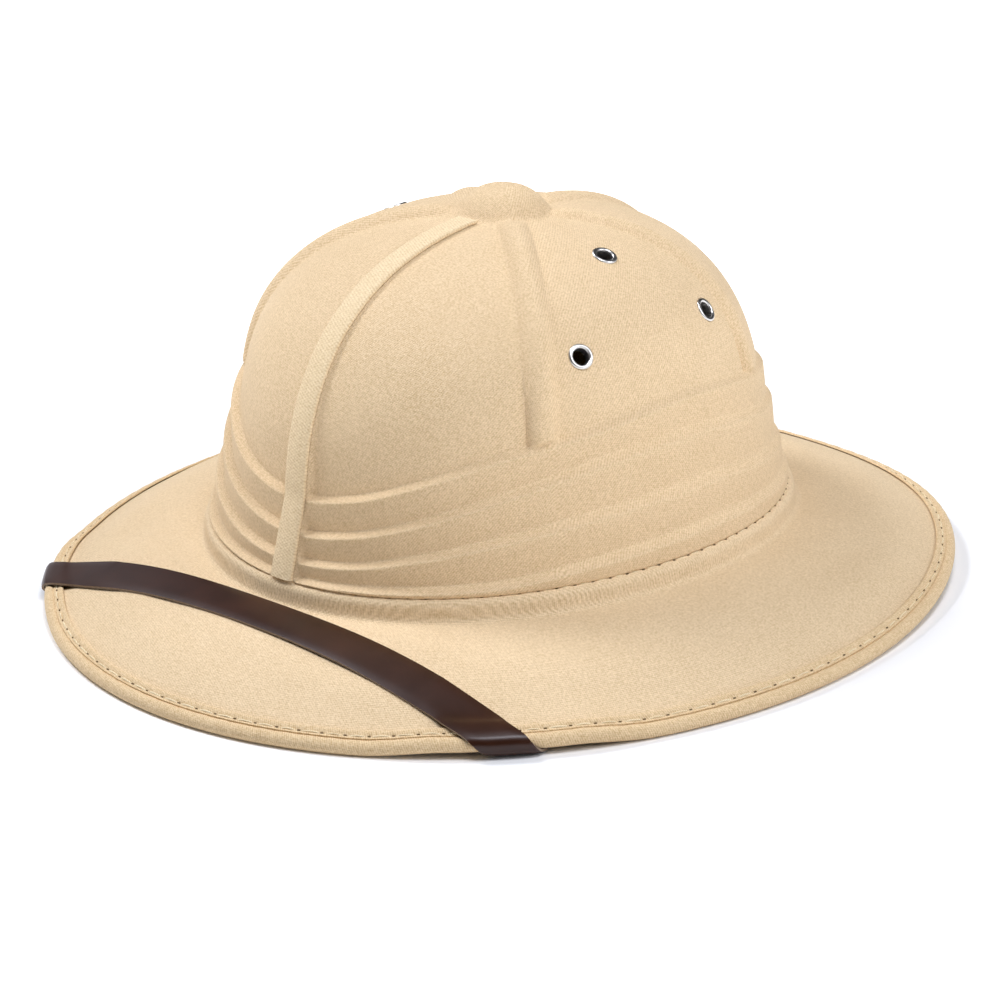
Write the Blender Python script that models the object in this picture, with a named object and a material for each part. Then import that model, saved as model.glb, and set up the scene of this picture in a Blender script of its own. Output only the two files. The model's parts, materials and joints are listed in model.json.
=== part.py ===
"""Pith helmet: a moulded crown with ribs and lapped pleats, a sloping brim, a bound rim and a chin strap.

Lengths are metres. The rim rests on the plane z = 0, the front looks along -Y and the wearer's left is +X.
An angle around the hat starts at the front and grows towards the wearer's left. It is the parameter of an
oval, so a point lies at (half_width * sin, -half_length * cos) from the crown's middle.
"""

from collections import namedtuple
from functools import lru_cache
from math import acos, atan2, copysign, cos, hypot, pi, radians, sin, tau

import bmesh
import bpy
import numpy as np
from mathutils import Matrix, Vector

MM = 0.001

# Clearances between sewn pieces
SEAT_GAP = 0.30 * MM
COLLAR_GAP = 0.50 * MM
TAPE_GAP = 0.35 * MM

# Crown, an oval dome whose lowest part is widened by the pleats
DOME_HALF_LENGTH = 99.0 * MM
DOME_HALF_WIDTH = 85.9 * MM
DOME_HEIGHT = 97.8 * MM
DOME_POWER = 2.88
DOME_APEX_BACK = 4.0 * MM
CROWN_WALL = 2.0 * MM
INNER_STEPS = 3.2
WALL_LEAN = 0.12
WALL_FLARE = 2.6 * MM
PLEAT_STEP = 1.15 * MM
PLEAT_LIP = 0.75 * MM
PLEAT_LIP_DROP = 1.3 * MM
PLEAT_FADE_DROP = 8.0 * MM
BOSS_RADIUS = 16.5 * MM
BOSS_HEIGHT = 5.4 * MM

# Seam where the crown is sewn to the brim
SEAM_FRONT_HEIGHT = 26.9 * MM
SEAM_SIDE_RISE = 3.8 * MM
SEAM_BACK_DROP = 3.4 * MM

# Ribs that run from the boss down to the first pleat
RIB_ANGLES = tuple(radians(a) for a in (0.0, 55.0, 119.0, 180.0, 241.0, 305.0))
RIB_HALF_WIDTH = 4.9 * MM
RIB_HEIGHT = 1.4 * MM
FRONT_RIB_HEIGHT = 0.5 * MM

# Brim, its collar inside the crown and the round shoulder below the seam
COLLAR_WALL = 2.0 * MM
COLLAR_HEIGHT = 10.0 * MM
BRIM_WALL = 3.0 * MM
BRIM_EDGE_WALL = 1.6 * MM
BRIM_BULGE = 3.0 * MM
RIM_HALF_LENGTH = 165.0 * MM
RIM_HALF_WIDTH = 150.2 * MM
RIM_BACK_LENGTH = 159.0 * MM
RIM_BACK_POWER = 2.1
RIM_SIDE_LIFT = 3.8 * MM
RIM_LIFT_CENTRE = radians(134.0)
RIM_LIFT_REACH = radians(46.0)

# Edge binding, a rolled edge with a flap over each face of the brim
ROLL_RADIUS = 2.4 * MM
BINDING_WALL = 0.9 * MM
BINDING_FLAP = 4.8 * MM
BINDING_FOOT = 0.8 * MM
BRIM_INTO_ROLL = 1.1 * MM

# Front tape
TAPE_WIDTH = 8.5 * MM
TAPE_THICKNESS = 1.0 * MM
TAPE_TOP_REACH = 18.0 * MM
TAPE_FOOT_HEIGHT = 0.7 * MM

# Chin strap
STRAP_WIDTH = 14.0 * MM
STRAP_THICKNESS = 1.1 * MM
STRAP_FOOT_GAP = 0.2 * MM
STRAP_SIDE_DRAW = 0.4 * MM
STRAP_SIDE_X = 85.0 * MM
STRAP_LEAVES_BRIM = 8.0 * MM
STRAP_NIP = 1.9 * MM
STRAP_NIP_ANGLE = radians(45.0)
STRAP_NIP_LEVEL = radians(7.5)
STRAP_NIP_REACH = radians(17.5)
STRAP_END_X = 98.5 * MM
STRAP_END_Y = -2.0 * MM

# Eyelets, three on each side
EYELET_FLANGE_RADIUS = 4.3 * MM
EYELET_BORE_RADIUS = 2.75 * MM
EYELET_BARREL_RADIUS = 3.15 * MM
EYELET_HOLE_RADIUS = 3.5 * MM
EYELET_FLANGE = 0.7 * MM
EYELET_INNER_GAP = 1.1 * MM

# Mesh steps
BRIM_COLUMNS = 60
PANEL_COLUMNS = 4
DOME_ROWS = 8
INNER_ROWS = 9
STRAP_TOP_STEPS = 12
STRAP_UNDER_STEPS = 8
EYELET_STEPS = 10

# Height of each pleat's lip above the seam as a share of the dome's height, from the front to the back
PleatRow = namedtuple("PleatRow", "angle first second third fourth")
PLEAT_ROWS = (
    PleatRow(0, 0.281, 0.165, 0.075, 0.014),
    PleatRow(15, 0.308, 0.189, 0.089, 0.020),
    PleatRow(30, 0.372, 0.245, 0.130, 0.026),
    PleatRow(45, 0.437, 0.309, 0.172, 0.034),
    PleatRow(65, 0.484, 0.375, 0.212, 0.065),
    PleatRow(90, 0.520, 0.395, 0.222, 0.081),
    PleatRow(120, 0.465, 0.335, 0.175, 0.064),
    PleatRow(180, 0.410, 0.290, 0.160, 0.058),
)

# Section of a rib: distance from its middle and height, as shares of its half width and height
RibRow = namedtuple("RibRow", "offset height")
RIB_ROWS = (
    RibRow(0.0, 1.0),
    RibRow(0.53, 0.82),
    RibRow(0.99, 0.12),
    RibRow(1.27, 0.0),
)

# Round shoulder under the seam: distance outside the crown's edge and depth below the seam
ShoulderRow = namedtuple("ShoulderRow", "out down")
SHOULDER_ROWS = (
    ShoulderRow(0.0 * MM, 0.0 * MM),
    ShoulderRow(1.3 * MM, 0.5 * MM),
    ShoulderRow(2.2 * MM, 1.9 * MM),
    ShoulderRow(2.5 * MM, 4.0 * MM),
    ShoulderRow(3.1 * MM, 5.6 * MM),
)
BRIM_START_OUT = 4.6 * MM
BRIM_START_DOWN = 6.4 * MM

# Shares of the way from the shoulder to the rim at which the brim has a row of points
BRIM_TOP_SHARES = (0.0, 0.12, 0.30, 0.50, 0.69, 0.86)
BRIM_UNDER_SHARES = (0.86, 0.62, 0.34, 0.10)

# Place of each eyelet on a side of the crown: distance behind the middle as a share of the dome's half length,
# and height above the seam as a share of the dome's height
EyeletPlace = namedtuple("EyeletPlace", "label behind height")
EYELET_PLACES = (
    EyeletPlace("upper", 0.0, 0.9335),
    EyeletPlace("front", -0.3485, 0.7106),
    EyeletPlace("back", 0.2677, 0.7260),
)

# Turned section of an eyelet: radius and height above the cloth's outer face
EyeletRow = namedtuple("EyeletRow", "radius height")


def clamp(value, low=0.0, high=1.0):
    """Return value kept between low and high."""
    return max(low, min(high, value))


def smooth(value):
    """Return an eased share, flat at 0 and at 1."""
    share = clamp(value)
    return share * share * (3.0 - 2.0 * share)


def pleat_share(angle, column):
    """Return a pleat's height share at an angle, as a smooth curve through the table's rows."""
    around = abs((angle + pi) % tau - pi)
    knots = [radians(row.angle) for row in PLEAT_ROWS]
    values = [getattr(row, column) for row in PLEAT_ROWS]
    slopes = np.gradient(values, knots)
    slopes[0] = slopes[-1] = 0.0
    i = min(int(np.searchsorted(knots, around, side="right")) - 1, len(knots) - 2)
    span = knots[i + 1] - knots[i]
    t = (around - knots[i]) / span
    start = (2 * t**3 - 3 * t**2 + 1) * values[i] + (t**3 - 2 * t**2 + t) * span * slopes[i]
    end = (3 * t**2 - 2 * t**3) * values[i + 1] + (t**3 - t**2) * span * slopes[i + 1]
    return start + end


@lru_cache(maxsize=None)
def pleat_heights(angle):
    """Return the heights of the four lips above the seam at an angle, from the top one down."""
    return [pleat_share(angle, column) * DOME_HEIGHT for column in PleatRow._fields[1:]]


def seam_height(angle):
    """Return the seam's height above the plane that the rim rests on."""
    rise = SEAM_SIDE_RISE * sin(angle) ** 2
    drop = SEAM_BACK_DROP * (1.0 - cos(angle)) / 2.0
    return SEAM_FRONT_HEIGHT + rise - drop


def curve_spread(height):
    """Return how far the dome's curve has shrunk the oval at a height, as a share of its foot."""
    return (1.0 - clamp(height / DOME_HEIGHT) ** DOME_POWER) ** (1.0 / DOME_POWER)


def dome_spread(angle, height):
    """Return how far the oval has shrunk at a height, on the curve or on the straight wall under the pleats."""
    top = pleat_heights(angle)[0]
    if height >= top:
        return curve_spread(height)
    edge = curve_spread(top)
    return edge + (1.0 - edge) * clamp(1.0 - height / top)


def dome_point(angle, height, offset):
    """Return the point of the dome at an angle and a height above the seam, moved out by offset."""
    spread = dome_spread(angle, height)
    x = DOME_HALF_WIDTH * spread * sin(angle)
    y = -DOME_HALF_LENGTH * spread * cos(angle) + DOME_APEX_BACK * (1.0 - spread)
    middle = seam_height(pi / 2.0)
    z = middle + (seam_height(angle) - middle) * spread + height
    flat = spread ** (DOME_POWER - 1.0)
    out_x = flat * sin(angle) / DOME_HALF_WIDTH
    out_y = -flat * cos(angle) / DOME_HALF_LENGTH
    up = clamp(height / DOME_HEIGHT) ** (DOME_POWER - 1.0) / DOME_HEIGHT
    if height < pleat_heights(angle)[0]:
        up = WALL_LEAN * hypot(out_x, out_y)
    return Vector((x, y, z)) + Vector((out_x, out_y, up)).normalized() * offset


def oval_speed(angle, spread=1.0):
    """Return how far a point of the dome's oval moves for each radian of angle."""
    return spread * hypot(DOME_HALF_WIDTH * cos(angle), DOME_HALF_LENGTH * sin(angle))


def widening(angle, height, steps):
    """Return the even widening of the crown's foot, from the first pleat down to the seam."""
    top = pleat_heights(angle)[0]
    return (WALL_FLARE + steps * PLEAT_STEP) * clamp(1.0 - height / top)


def foot_widening():
    """Return how far the crown's foot stands outside the plain dome."""
    return WALL_FLARE + 4.0 * PLEAT_STEP


def rib_profile(offset, full_height):
    """Return a rib's height at a distance from its middle."""
    share = abs(offset) / RIB_HALF_WIDTH
    return full_height * float(np.interp(share, [r.offset for r in RIB_ROWS], [r.height for r in RIB_ROWS]))


def boss_profile(distance):
    """Return the height of the round boss at a distance from the crown's middle."""
    return BOSS_HEIGHT * (1.0 - clamp(distance / BOSS_RADIUS) ** 2) ** 1.2


def height_at_spread(spread):
    """Return the dome's height where its oval has shrunk to a share of its foot."""
    return DOME_HEIGHT * (1.0 - spread**DOME_POWER) ** (1.0 / DOME_POWER)


# Each column of the crown is held at a fixed distance from a rib, or at a share of the panel after it
Column = namedtuple("Column", "rib offset share")


def crown_columns():
    """Return the crown's columns, first those on a rib and then those across the panel after it."""
    offsets = [row.offset * RIB_HALF_WIDTH for row in RIB_ROWS]
    across = [-d for d in reversed(offsets[1:])] + offsets
    columns = []
    for rib in range(len(RIB_ANGLES)):
        columns += [Column(rib, d, 0.0) for d in across]
        columns += [Column(rib, offsets[-1], (k + 1) / (PANEL_COLUMNS + 1)) for k in range(PANEL_COLUMNS)]
    return columns


def column_angle(column, spread):
    """Return a column's angle where the dome's oval has a given spread."""
    count = len(RIB_ANGLES)
    here = RIB_ANGLES[column.rib]
    after = RIB_ANGLES[(column.rib + 1) % count] + (tau if column.rib + 1 == count else 0.0)
    before = RIB_ANGLES[column.rib - 1] - (tau if column.rib == 0 else 0.0)

    def turned(centre, offset, gap):
        """Return the angle at a distance from a rib's middle."""
        limit = 0.42 * gap * abs(offset) / (RIB_ROWS[-1].offset * RIB_HALF_WIDTH)
        return centre + np.sign(offset) * min(abs(offset) / max(oval_speed(centre, spread), 1e-6), limit)

    if column.share == 0.0:
        return turned(here, column.offset, after - here if column.offset > 0 else here - before)
    low = turned(here, column.offset, after - here)
    high = turned(after, -column.offset, after - here)
    return low + (high - low) * column.share


def pleat_steps(angle, height):
    """Return the stepped widening of the crown's foot, with a lip at the top of each lap."""
    total = 0.0
    for lip in pleat_heights(angle):
        below = lip - height
        if below <= -PLEAT_LIP_DROP:
            continue
        rise = smooth((below + PLEAT_LIP_DROP) / (2.0 * PLEAT_LIP_DROP))
        fade = 1.0 - smooth((below - PLEAT_LIP_DROP) / PLEAT_FADE_DROP)
        total += PLEAT_STEP * rise + PLEAT_LIP * rise * fade
    return total


def crown_offset(angle, height, spread, rib, offset):
    """Return how far the crown's outer face stands outside the plain dome."""
    reach = hypot(DOME_HALF_WIDTH * spread * sin(angle), DOME_HALF_LENGTH * spread * cos(angle))
    first = pleat_heights(angle)[0]
    steps = widening(angle, height, 0.0) + pleat_steps(angle, height)
    if rib == 0:
        beside_tape = smooth((abs(offset) - 4.6 * MM) / (1.6 * MM))
        even = widening(angle, height, 4.0)
        steps = even + (steps - even) * beside_tape
        full_height = FRONT_RIB_HEIGHT
        over_pleats = 1.0
    else:
        full_height = RIB_HEIGHT
        over_pleats = smooth((height - first) / (2.0 * PLEAT_LIP_DROP))
    near_boss = smooth((reach - 0.75 * BOSS_RADIUS) / (0.6 * BOSS_RADIUS))
    rib_height = rib_profile(offset, full_height) * over_pleats * near_boss
    return steps + rib_height + boss_profile(reach)


def crown_row_heights(angle):
    """Return the heights of the crown's rows below the boss at an angle, from the top down."""
    lips = pleat_heights(angle)
    start = 1.35 * BOSS_RADIUS / (0.5 * (DOME_HALF_LENGTH + DOME_HALF_WIDTH))
    top = lips[0] + 2.0 * PLEAT_LIP_DROP
    turn_start = np.arcsin(start ** (DOME_POWER / 2.0))
    turn_end = np.arccos((top / DOME_HEIGHT) ** (DOME_POWER / 2.0))
    turns = np.linspace(turn_start, turn_end, DOME_ROWS)
    heights = [DOME_HEIGHT * float(np.cos(t)) ** (2.0 / DOME_POWER) for t in turns]
    floors = lips[1:] + [SEAT_GAP]
    for lip, floor in zip(lips, floors):
        room = min(1.0, (lip - floor) / (4.4 * PLEAT_LIP_DROP))
        if floor is floors[-1]:
            room = min(1.0, (lip - floor) / (2.4 * PLEAT_LIP_DROP))
        heights += [
            lip + PLEAT_LIP_DROP * min(1.0, 1.4 * room),
            lip + 0.1 * PLEAT_LIP_DROP,
            lip - PLEAT_LIP_DROP * room,
        ]
        if floor is not floors[-1]:
            heights.append(lip - 2.9 * PLEAT_LIP_DROP * room)
    heights.append(SEAT_GAP)
    return heights


def crown_inner(angle, height):
    """Return the crown's inner face at an angle and a height above the seam."""
    return dome_point(angle, height, widening(angle, height, INNER_STEPS) - CROWN_WALL)


def brim_start(angle):
    """Return the middle of the brim's wall where it leaves the shoulder."""
    out = foot_widening() + BRIM_START_OUT
    x = (DOME_HALF_WIDTH + out) * sin(angle)
    y = -(DOME_HALF_LENGTH + out) * cos(angle)
    return Vector((x, y, seam_height(angle) - BRIM_START_DOWN - BRIM_WALL / 2.0))


def around_from_front(angle):
    """Return an angle's distance from the front, either way round."""
    return abs((angle + pi) % tau - pi)


def rim_lift(angle):
    """Return how far the rim is raised at the rear sides, where it doesn't rest."""
    away = abs(around_from_front(angle) - RIM_LIFT_CENTRE) / RIM_LIFT_REACH
    return RIM_SIDE_LIFT * cos(clamp(away) * pi / 2.0) ** 2


def strap_nip(angle):
    """Return how far the strap pulls the rim up where it goes round it."""
    away = abs(around_from_front(angle) - STRAP_NIP_ANGLE) - STRAP_NIP_LEVEL
    return STRAP_NIP * smooth(1.0 - away / (STRAP_NIP_REACH - STRAP_NIP_LEVEL))


def roll_centre(angle):
    """Return the middle of the binding's roll. The back half of the rim is shorter and a little squarer."""
    across, along = sin(angle), -cos(angle)
    half_length = RIM_HALF_LENGTH
    if along > 0.0:
        half_length = RIM_BACK_LENGTH
        across = copysign(abs(across) ** (2.0 / RIM_BACK_POWER), across)
        along = along ** (2.0 / RIM_BACK_POWER)
    x = (RIM_HALF_WIDTH - ROLL_RADIUS) * across
    y = (half_length - ROLL_RADIUS) * along
    return Vector((x, y, ROLL_RADIUS + rim_lift(angle)))


def brim_middle(angle, share):
    """Return the middle of the brim's wall at a share of the way from the shoulder to the rim."""
    point = brim_start(angle).lerp(roll_centre(angle), share)
    point.z += BRIM_BULGE * 4.0 * share * (1.0 - share) + strap_nip(angle) * max(share, 0.0) ** 3
    return point


def brim_frame(angle, share):
    """Return the wall's middle, its outward direction down the slope and its upward normal."""
    step = 0.01
    middle = brim_middle(angle, share)
    down = (brim_middle(angle, share + step) - brim_middle(angle, share - step)).normalized()
    level = hypot(down.x, down.y)
    normal = Vector((-down.z * down.x / level, -down.z * down.y / level, level))
    return middle, down, normal


def brim_length(angle):
    """Return the plan distance from the shoulder to the roll's middle at an angle."""
    span = roll_centre(angle) - brim_start(angle)
    return hypot(span.x, span.y)


def half_wall(share):
    """Return half the brim's wall, which is thinner inside the binding."""
    return 0.5 * (BRIM_EDGE_WALL + (BRIM_WALL - BRIM_EDGE_WALL) * smooth((BRIM_TOP_SHARES[-1] - share) / 0.3))


def section_point(angle, inward, above):
    """Return a point near the rim from its distance inside the roll's middle and above the wall's middle."""
    share = 1.0 - inward / brim_length(angle)
    middle, down, normal = brim_frame(angle, min(share, 1.0))
    beyond = max(-inward, 0.0)
    return middle + down * beyond + normal * above


def crown_foot(angle, extra, drop):
    """Return a point of the shoulder, outside the crown's lower edge and below the seam."""
    return dome_point(angle, -drop, foot_widening() + extra)


def collar_point(angle, height, inset):
    """Return a point of the collar inside the crown."""
    return dome_point(angle, height, widening(angle, height, INNER_STEPS) - CROWN_WALL - COLLAR_GAP - inset)


def brim_section(angle):
    """Return the brim's closed section at an angle, from the collar's top down, out and back under."""
    top = [collar_point(angle, COLLAR_HEIGHT, 0.0), collar_point(angle, 0.0, 0.0)]
    top += [crown_foot(angle, row.out, row.down) for row in SHOULDER_ROWS]
    for share in BRIM_TOP_SHARES:
        middle, _, normal = brim_frame(angle, share)
        top.append(middle + normal * half_wall(share))
    top.append(section_point(angle, -BRIM_INTO_ROLL, half_wall(1.0)))
    under = [section_point(angle, -BRIM_INTO_ROLL, -half_wall(1.0))]
    for share in BRIM_UNDER_SHARES:
        middle, _, normal = brim_frame(angle, share)
        under.append(middle - normal * half_wall(share))
    under.append(crown_foot(angle, 0.9 * MM, 6.8 * MM))
    under.append(collar_point(angle, -2.2 * MM, COLLAR_WALL))
    under.append(collar_point(angle, COLLAR_HEIGHT, COLLAR_WALL))
    return top + under


def binding_section(angle):
    """Return the binding's closed section: its outer face from the top flap round to the lower one, and back."""
    edge = half_wall(1.0)
    inner = edge + SEAT_GAP
    flap = inner + BINDING_WALL
    channel = BRIM_INTO_ROLL + SEAT_GAP
    outer = [
        section_point(angle, BINDING_FLAP, flap),
        section_point(angle, 3.2 * MM, flap),
        section_point(angle, 2.4 * MM, flap - 0.35 * BINDING_WALL),
        section_point(angle, 1.3 * MM, 0.93 * ROLL_RADIUS),
    ]
    middle, down, _ = brim_frame(angle, 1.0)
    out = Vector((down.x, down.y, 0.0)).normalized()
    for turn in (78.0, 42.0, 8.0, -28.0):
        outer.append(middle + (out * cos(radians(turn)) + Vector((0, 0, 1)) * sin(radians(turn))) * ROLL_RADIUS)
    foot = middle - Vector((0, 0, ROLL_RADIUS))
    outer += [foot + out * BINDING_FOOT, foot - out * BINDING_FOOT]
    outer.append(section_point(angle, BINDING_FLAP, -flap))
    channel_points = [
        section_point(angle, BINDING_FLAP, -inner),
        section_point(angle, 0.0, -inner),
        section_point(angle, -channel, -0.8 * inner),
        section_point(angle, -channel, 0.8 * inner),
        section_point(angle, 0.0, inner),
        section_point(angle, BINDING_FLAP, inner),
    ]
    return outer + channel_points


def plan_to_brim(x, y):
    """Return the angle and the share of the brim that lie at a place in plan."""
    low, high = -0.1, 1.2
    start_out = foot_widening() + BRIM_START_OUT
    for _ in range(40):
        share = 0.5 * (low + high)
        length = (DOME_HALF_LENGTH + start_out) * (1 - share) + (RIM_HALF_LENGTH - ROLL_RADIUS) * share
        width = (DOME_HALF_WIDTH + start_out) * (1 - share) + (RIM_HALF_WIDTH - ROLL_RADIUS) * share
        if hypot(x / width, y / length) > 1.0:
            low = share
        else:
            high = share
    return atan2(x / width, -y / length), 0.5 * (low + high)


def over_binding(inward):
    """Return how high the strap is lifted off the brim's face by the binding's flap."""
    rise = BINDING_WALL + SEAT_GAP
    return rise * smooth((BINDING_FLAP + 5.5 * MM - inward) / (5.0 * MM))


def strap_face(x, y, side):
    """Return the strap's inner face over or under the brim at a place in plan, and the way out from it."""
    angle, share = plan_to_brim(x, y)
    middle, _, normal = brim_frame(angle, share)
    inward = (1.0 - share) * brim_length(angle)
    lift = half_wall(share) + SEAT_GAP + over_binding(inward)
    return middle + normal * lift * side, normal * side


# A station of the strap: for each line across it, a point of its inner face and the way out from it
Station = namedtuple("Station", "points outs")


def strap_lines():
    """Return the distances of the strap's three lines from its middle."""
    return (0.5 * STRAP_WIDTH, 0.0, -0.5 * STRAP_WIDTH)


def strap_top_station(x):
    """Return the strap's station over the front brim at a distance to the wearer's left."""
    front = DOME_HALF_LENGTH + foot_widening() + BRIM_START_OUT + STRAP_FOOT_GAP + 0.5 * STRAP_WIDTH
    reach = front - STRAP_SIDE_DRAW * (x / STRAP_SIDE_X) ** 2
    near = strap_face(x, -reach + 1.0 * MM, 1.0)[0]
    far = strap_face(x, -reach - 1.0 * MM, 1.0)[0]
    tilt = (near.y - far.y) / (near - far).length
    faces = [strap_face(x, -reach + line * tilt, 1.0) for line in strap_lines()]
    return Station([f[0] for f in faces], [f[1] for f in faces])


# Row of the strap's inner face round the rim: distance inside the roll, height above the brim's middle,
# turn round the roll in degrees, and the way gone over the top, round the roll and underneath
WrapRow = namedtuple("WrapRow", "inward above turn over around under")


def wrap_rows():
    """Return the rows of the strap's way round the rim."""
    radius = ROLL_RADIUS + SEAT_GAP
    flap = half_wall(1.0) + 2.0 * SEAT_GAP + BINDING_WALL
    far, near = STRAP_LEAVES_BRIM - 3.0 * MM, STRAP_LEAVES_BRIM - 6.0 * MM
    rows = [WrapRow(far, flap, 90.0, 3.0 * MM, 0.0, 0.0), WrapRow(near, radius, 90.0, 6.0 * MM, 0.0, 0.0)]
    for turn in (90.0, 60.0, 30.0, 0.0, -30.0, -60.0, -90.0):
        rows.append(WrapRow(0.0, 0.0, turn, STRAP_LEAVES_BRIM, radius * radians(90.0 - turn), 0.0))
    rows.append(WrapRow(near, -radius, -90.0, STRAP_LEAVES_BRIM, pi * radius, near))
    rows.append(WrapRow(far, -flap, -90.0, STRAP_LEAVES_BRIM, pi * radius, far))
    return rows


def along_rim(row, angle):
    """Return how far round the rim a line of the strap has gone by a row, for a strap that comes in along X."""
    speed = hypot(RIM_HALF_WIDTH * cos(angle), RIM_HALF_LENGTH * sin(angle))
    tangent = Vector((RIM_HALF_WIDTH * cos(angle), RIM_HALF_LENGTH * sin(angle))) / speed
    square = Vector((tangent.y, -tangent.x))
    span = roll_centre(angle) - brim_start(angle)
    ruled = Vector((span.x, span.y)).normalized()
    skew = ruled.dot(tangent) / ruled.dot(square)
    lean = tangent.x / square.x
    over = row.over * ruled.dot(square) * (lean - skew)
    under = row.under * ruled.dot(square) * (lean + skew)
    return (over + row.around * lean + under) / speed


def rim_crossing(line):
    """Return where one line of the strap comes to the binding, on the wearer's left."""
    low, high = 60.0 * MM, 130.0 * MM
    for _ in range(40):
        x = 0.5 * (low + high)
        point = strap_top_station(x).points[line]
        angle, share = plan_to_brim(point.x, point.y)
        if (1.0 - share) * brim_length(angle) > STRAP_LEAVES_BRIM:
            low = x
        else:
            high = x
    return x, angle


def strap_half():
    """Return the strap's stations from the middle of the front brim round the wearer's left of the rim to its end."""
    crossings = [rim_crossing(line) for line in range(3)]
    first = min(x for x, _ in crossings)
    stations = [strap_top_station(first * k / STRAP_TOP_STEPS) for k in range(STRAP_TOP_STEPS)]
    ends = [strap_top_station(x) for x, _ in crossings]
    stations.append(Station([ends[i].points[i] for i in range(3)], [ends[i].outs[i] for i in range(3)]))
    for row in wrap_rows():
        points, outs = [], []
        for _, angle in crossings:
            here = angle + along_rim(row, angle)
            middle, down, normal = brim_frame(here, 1.0)
            if row.inward > 0.0:
                points.append(section_point(here, row.inward, row.above))
                outs.append(normal * (1.0 if row.above > 0.0 else -1.0))
            else:
                outs.append(down * cos(radians(row.turn)) + normal * sin(radians(row.turn)))
                points.append(middle + outs[-1] * (ROLL_RADIUS + SEAT_GAP))
        stations.append(Station(points, outs))
    exit_middle = stations[-1].points[1]
    before = stations[-2].points[1]
    heading = Vector((exit_middle.x - before.x, exit_middle.y - before.y, 0.0)).normalized()
    start = Vector((exit_middle.x, exit_middle.y, 0.0))
    end = Vector((STRAP_END_X, STRAP_END_Y, 0.0))
    bend = start + heading * 0.4 * (end - start).length
    for k in range(1, STRAP_UNDER_STEPS + 1):
        t = k / STRAP_UNDER_STEPS
        spot = start * (1 - t) ** 2 + bend * 2 * t * (1 - t) + end * t**2
        way = ((bend - start) * (1 - t) + (end - bend) * t).normalized()
        side = way.cross(Vector((0.0, 0.0, 1.0)))
        faces = [strap_face(*(spot + side * line).xy, -1.0) for line in strap_lines()]
        stations.append(Station([f[0] for f in faces], [f[1] for f in faces]))
    return stations


def skin(name, rings, closed_rows=False):
    """Return a closed mesh over rings of points, with a pole at an end that is a single point."""
    mesh = bpy.data.meshes.new(name)
    bm = bmesh.new()
    rows = [[bm.verts.new(p) for p in ring] for ring in rings]
    pairs = list(zip(rows, rows[1:])) + ([(rows[-1], rows[0])] if closed_rows else [])
    for upper, lower in pairs:
        count = max(len(upper), len(lower))
        for i in range(count):
            j = (i + 1) % count
            if len(upper) == 1:
                bm.faces.new((upper[0], lower[i], lower[j]))
            elif len(lower) == 1:
                bm.faces.new((upper[i], lower[0], upper[j]))
            else:
                bm.faces.new((upper[i], lower[i], lower[j], upper[j]))
    bmesh.ops.recalc_face_normals(bm, faces=bm.faces[:])
    bm.to_mesh(mesh)
    bm.free()
    return mesh


def strip(name, sections):
    """Return a closed mesh over a run of closed sections, with a face on each end."""
    mesh = bpy.data.meshes.new(name)
    bm = bmesh.new()
    rows = [[bm.verts.new(p) for p in section] for section in sections]
    count = len(rows[0])
    for a, b in zip(rows, rows[1:]):
        for i in range(count):
            j = (i + 1) % count
            bm.faces.new((a[i], a[j], b[j], b[i]))
    bm.faces.new(rows[0])
    bm.faces.new(list(reversed(rows[-1])))
    bmesh.ops.recalc_face_normals(bm, faces=bm.faces[:])
    bm.to_mesh(mesh)
    bm.free()
    return mesh


def material(name, colour, roughness, metallic=0.0):
    """Return a Principled material with a piece's colour."""
    made = bpy.data.materials.new(name)
    made.use_nodes = True
    shader = made.node_tree.nodes["Principled BSDF"]
    shader.inputs["Base Color"].default_value = (*colour, 1.0)
    shader.inputs["Roughness"].default_value = roughness
    shader.inputs["Metallic"].default_value = metallic
    return made


def centred():
    """Return the move that puts the middle of the hat's footprint over the origin."""
    return Matrix.Translation((0.0, 0.5 * (RIM_HALF_LENGTH - RIM_BACK_LENGTH), 0.0))


def place(collection, name, mesh, finish, matrix=None):
    """Add a piece to the hat's collection."""
    piece = bpy.data.objects.new(name, mesh)
    collection.objects.link(piece)
    if not mesh.materials:
        mesh.materials.append(finish)
    if matrix is None:
        mesh.transform(centred())
    else:
        piece.matrix_world = matrix
    mesh.shade_smooth()
    mesh.set_sharp_from_angle(angle=radians(40.0))
    return piece


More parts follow.
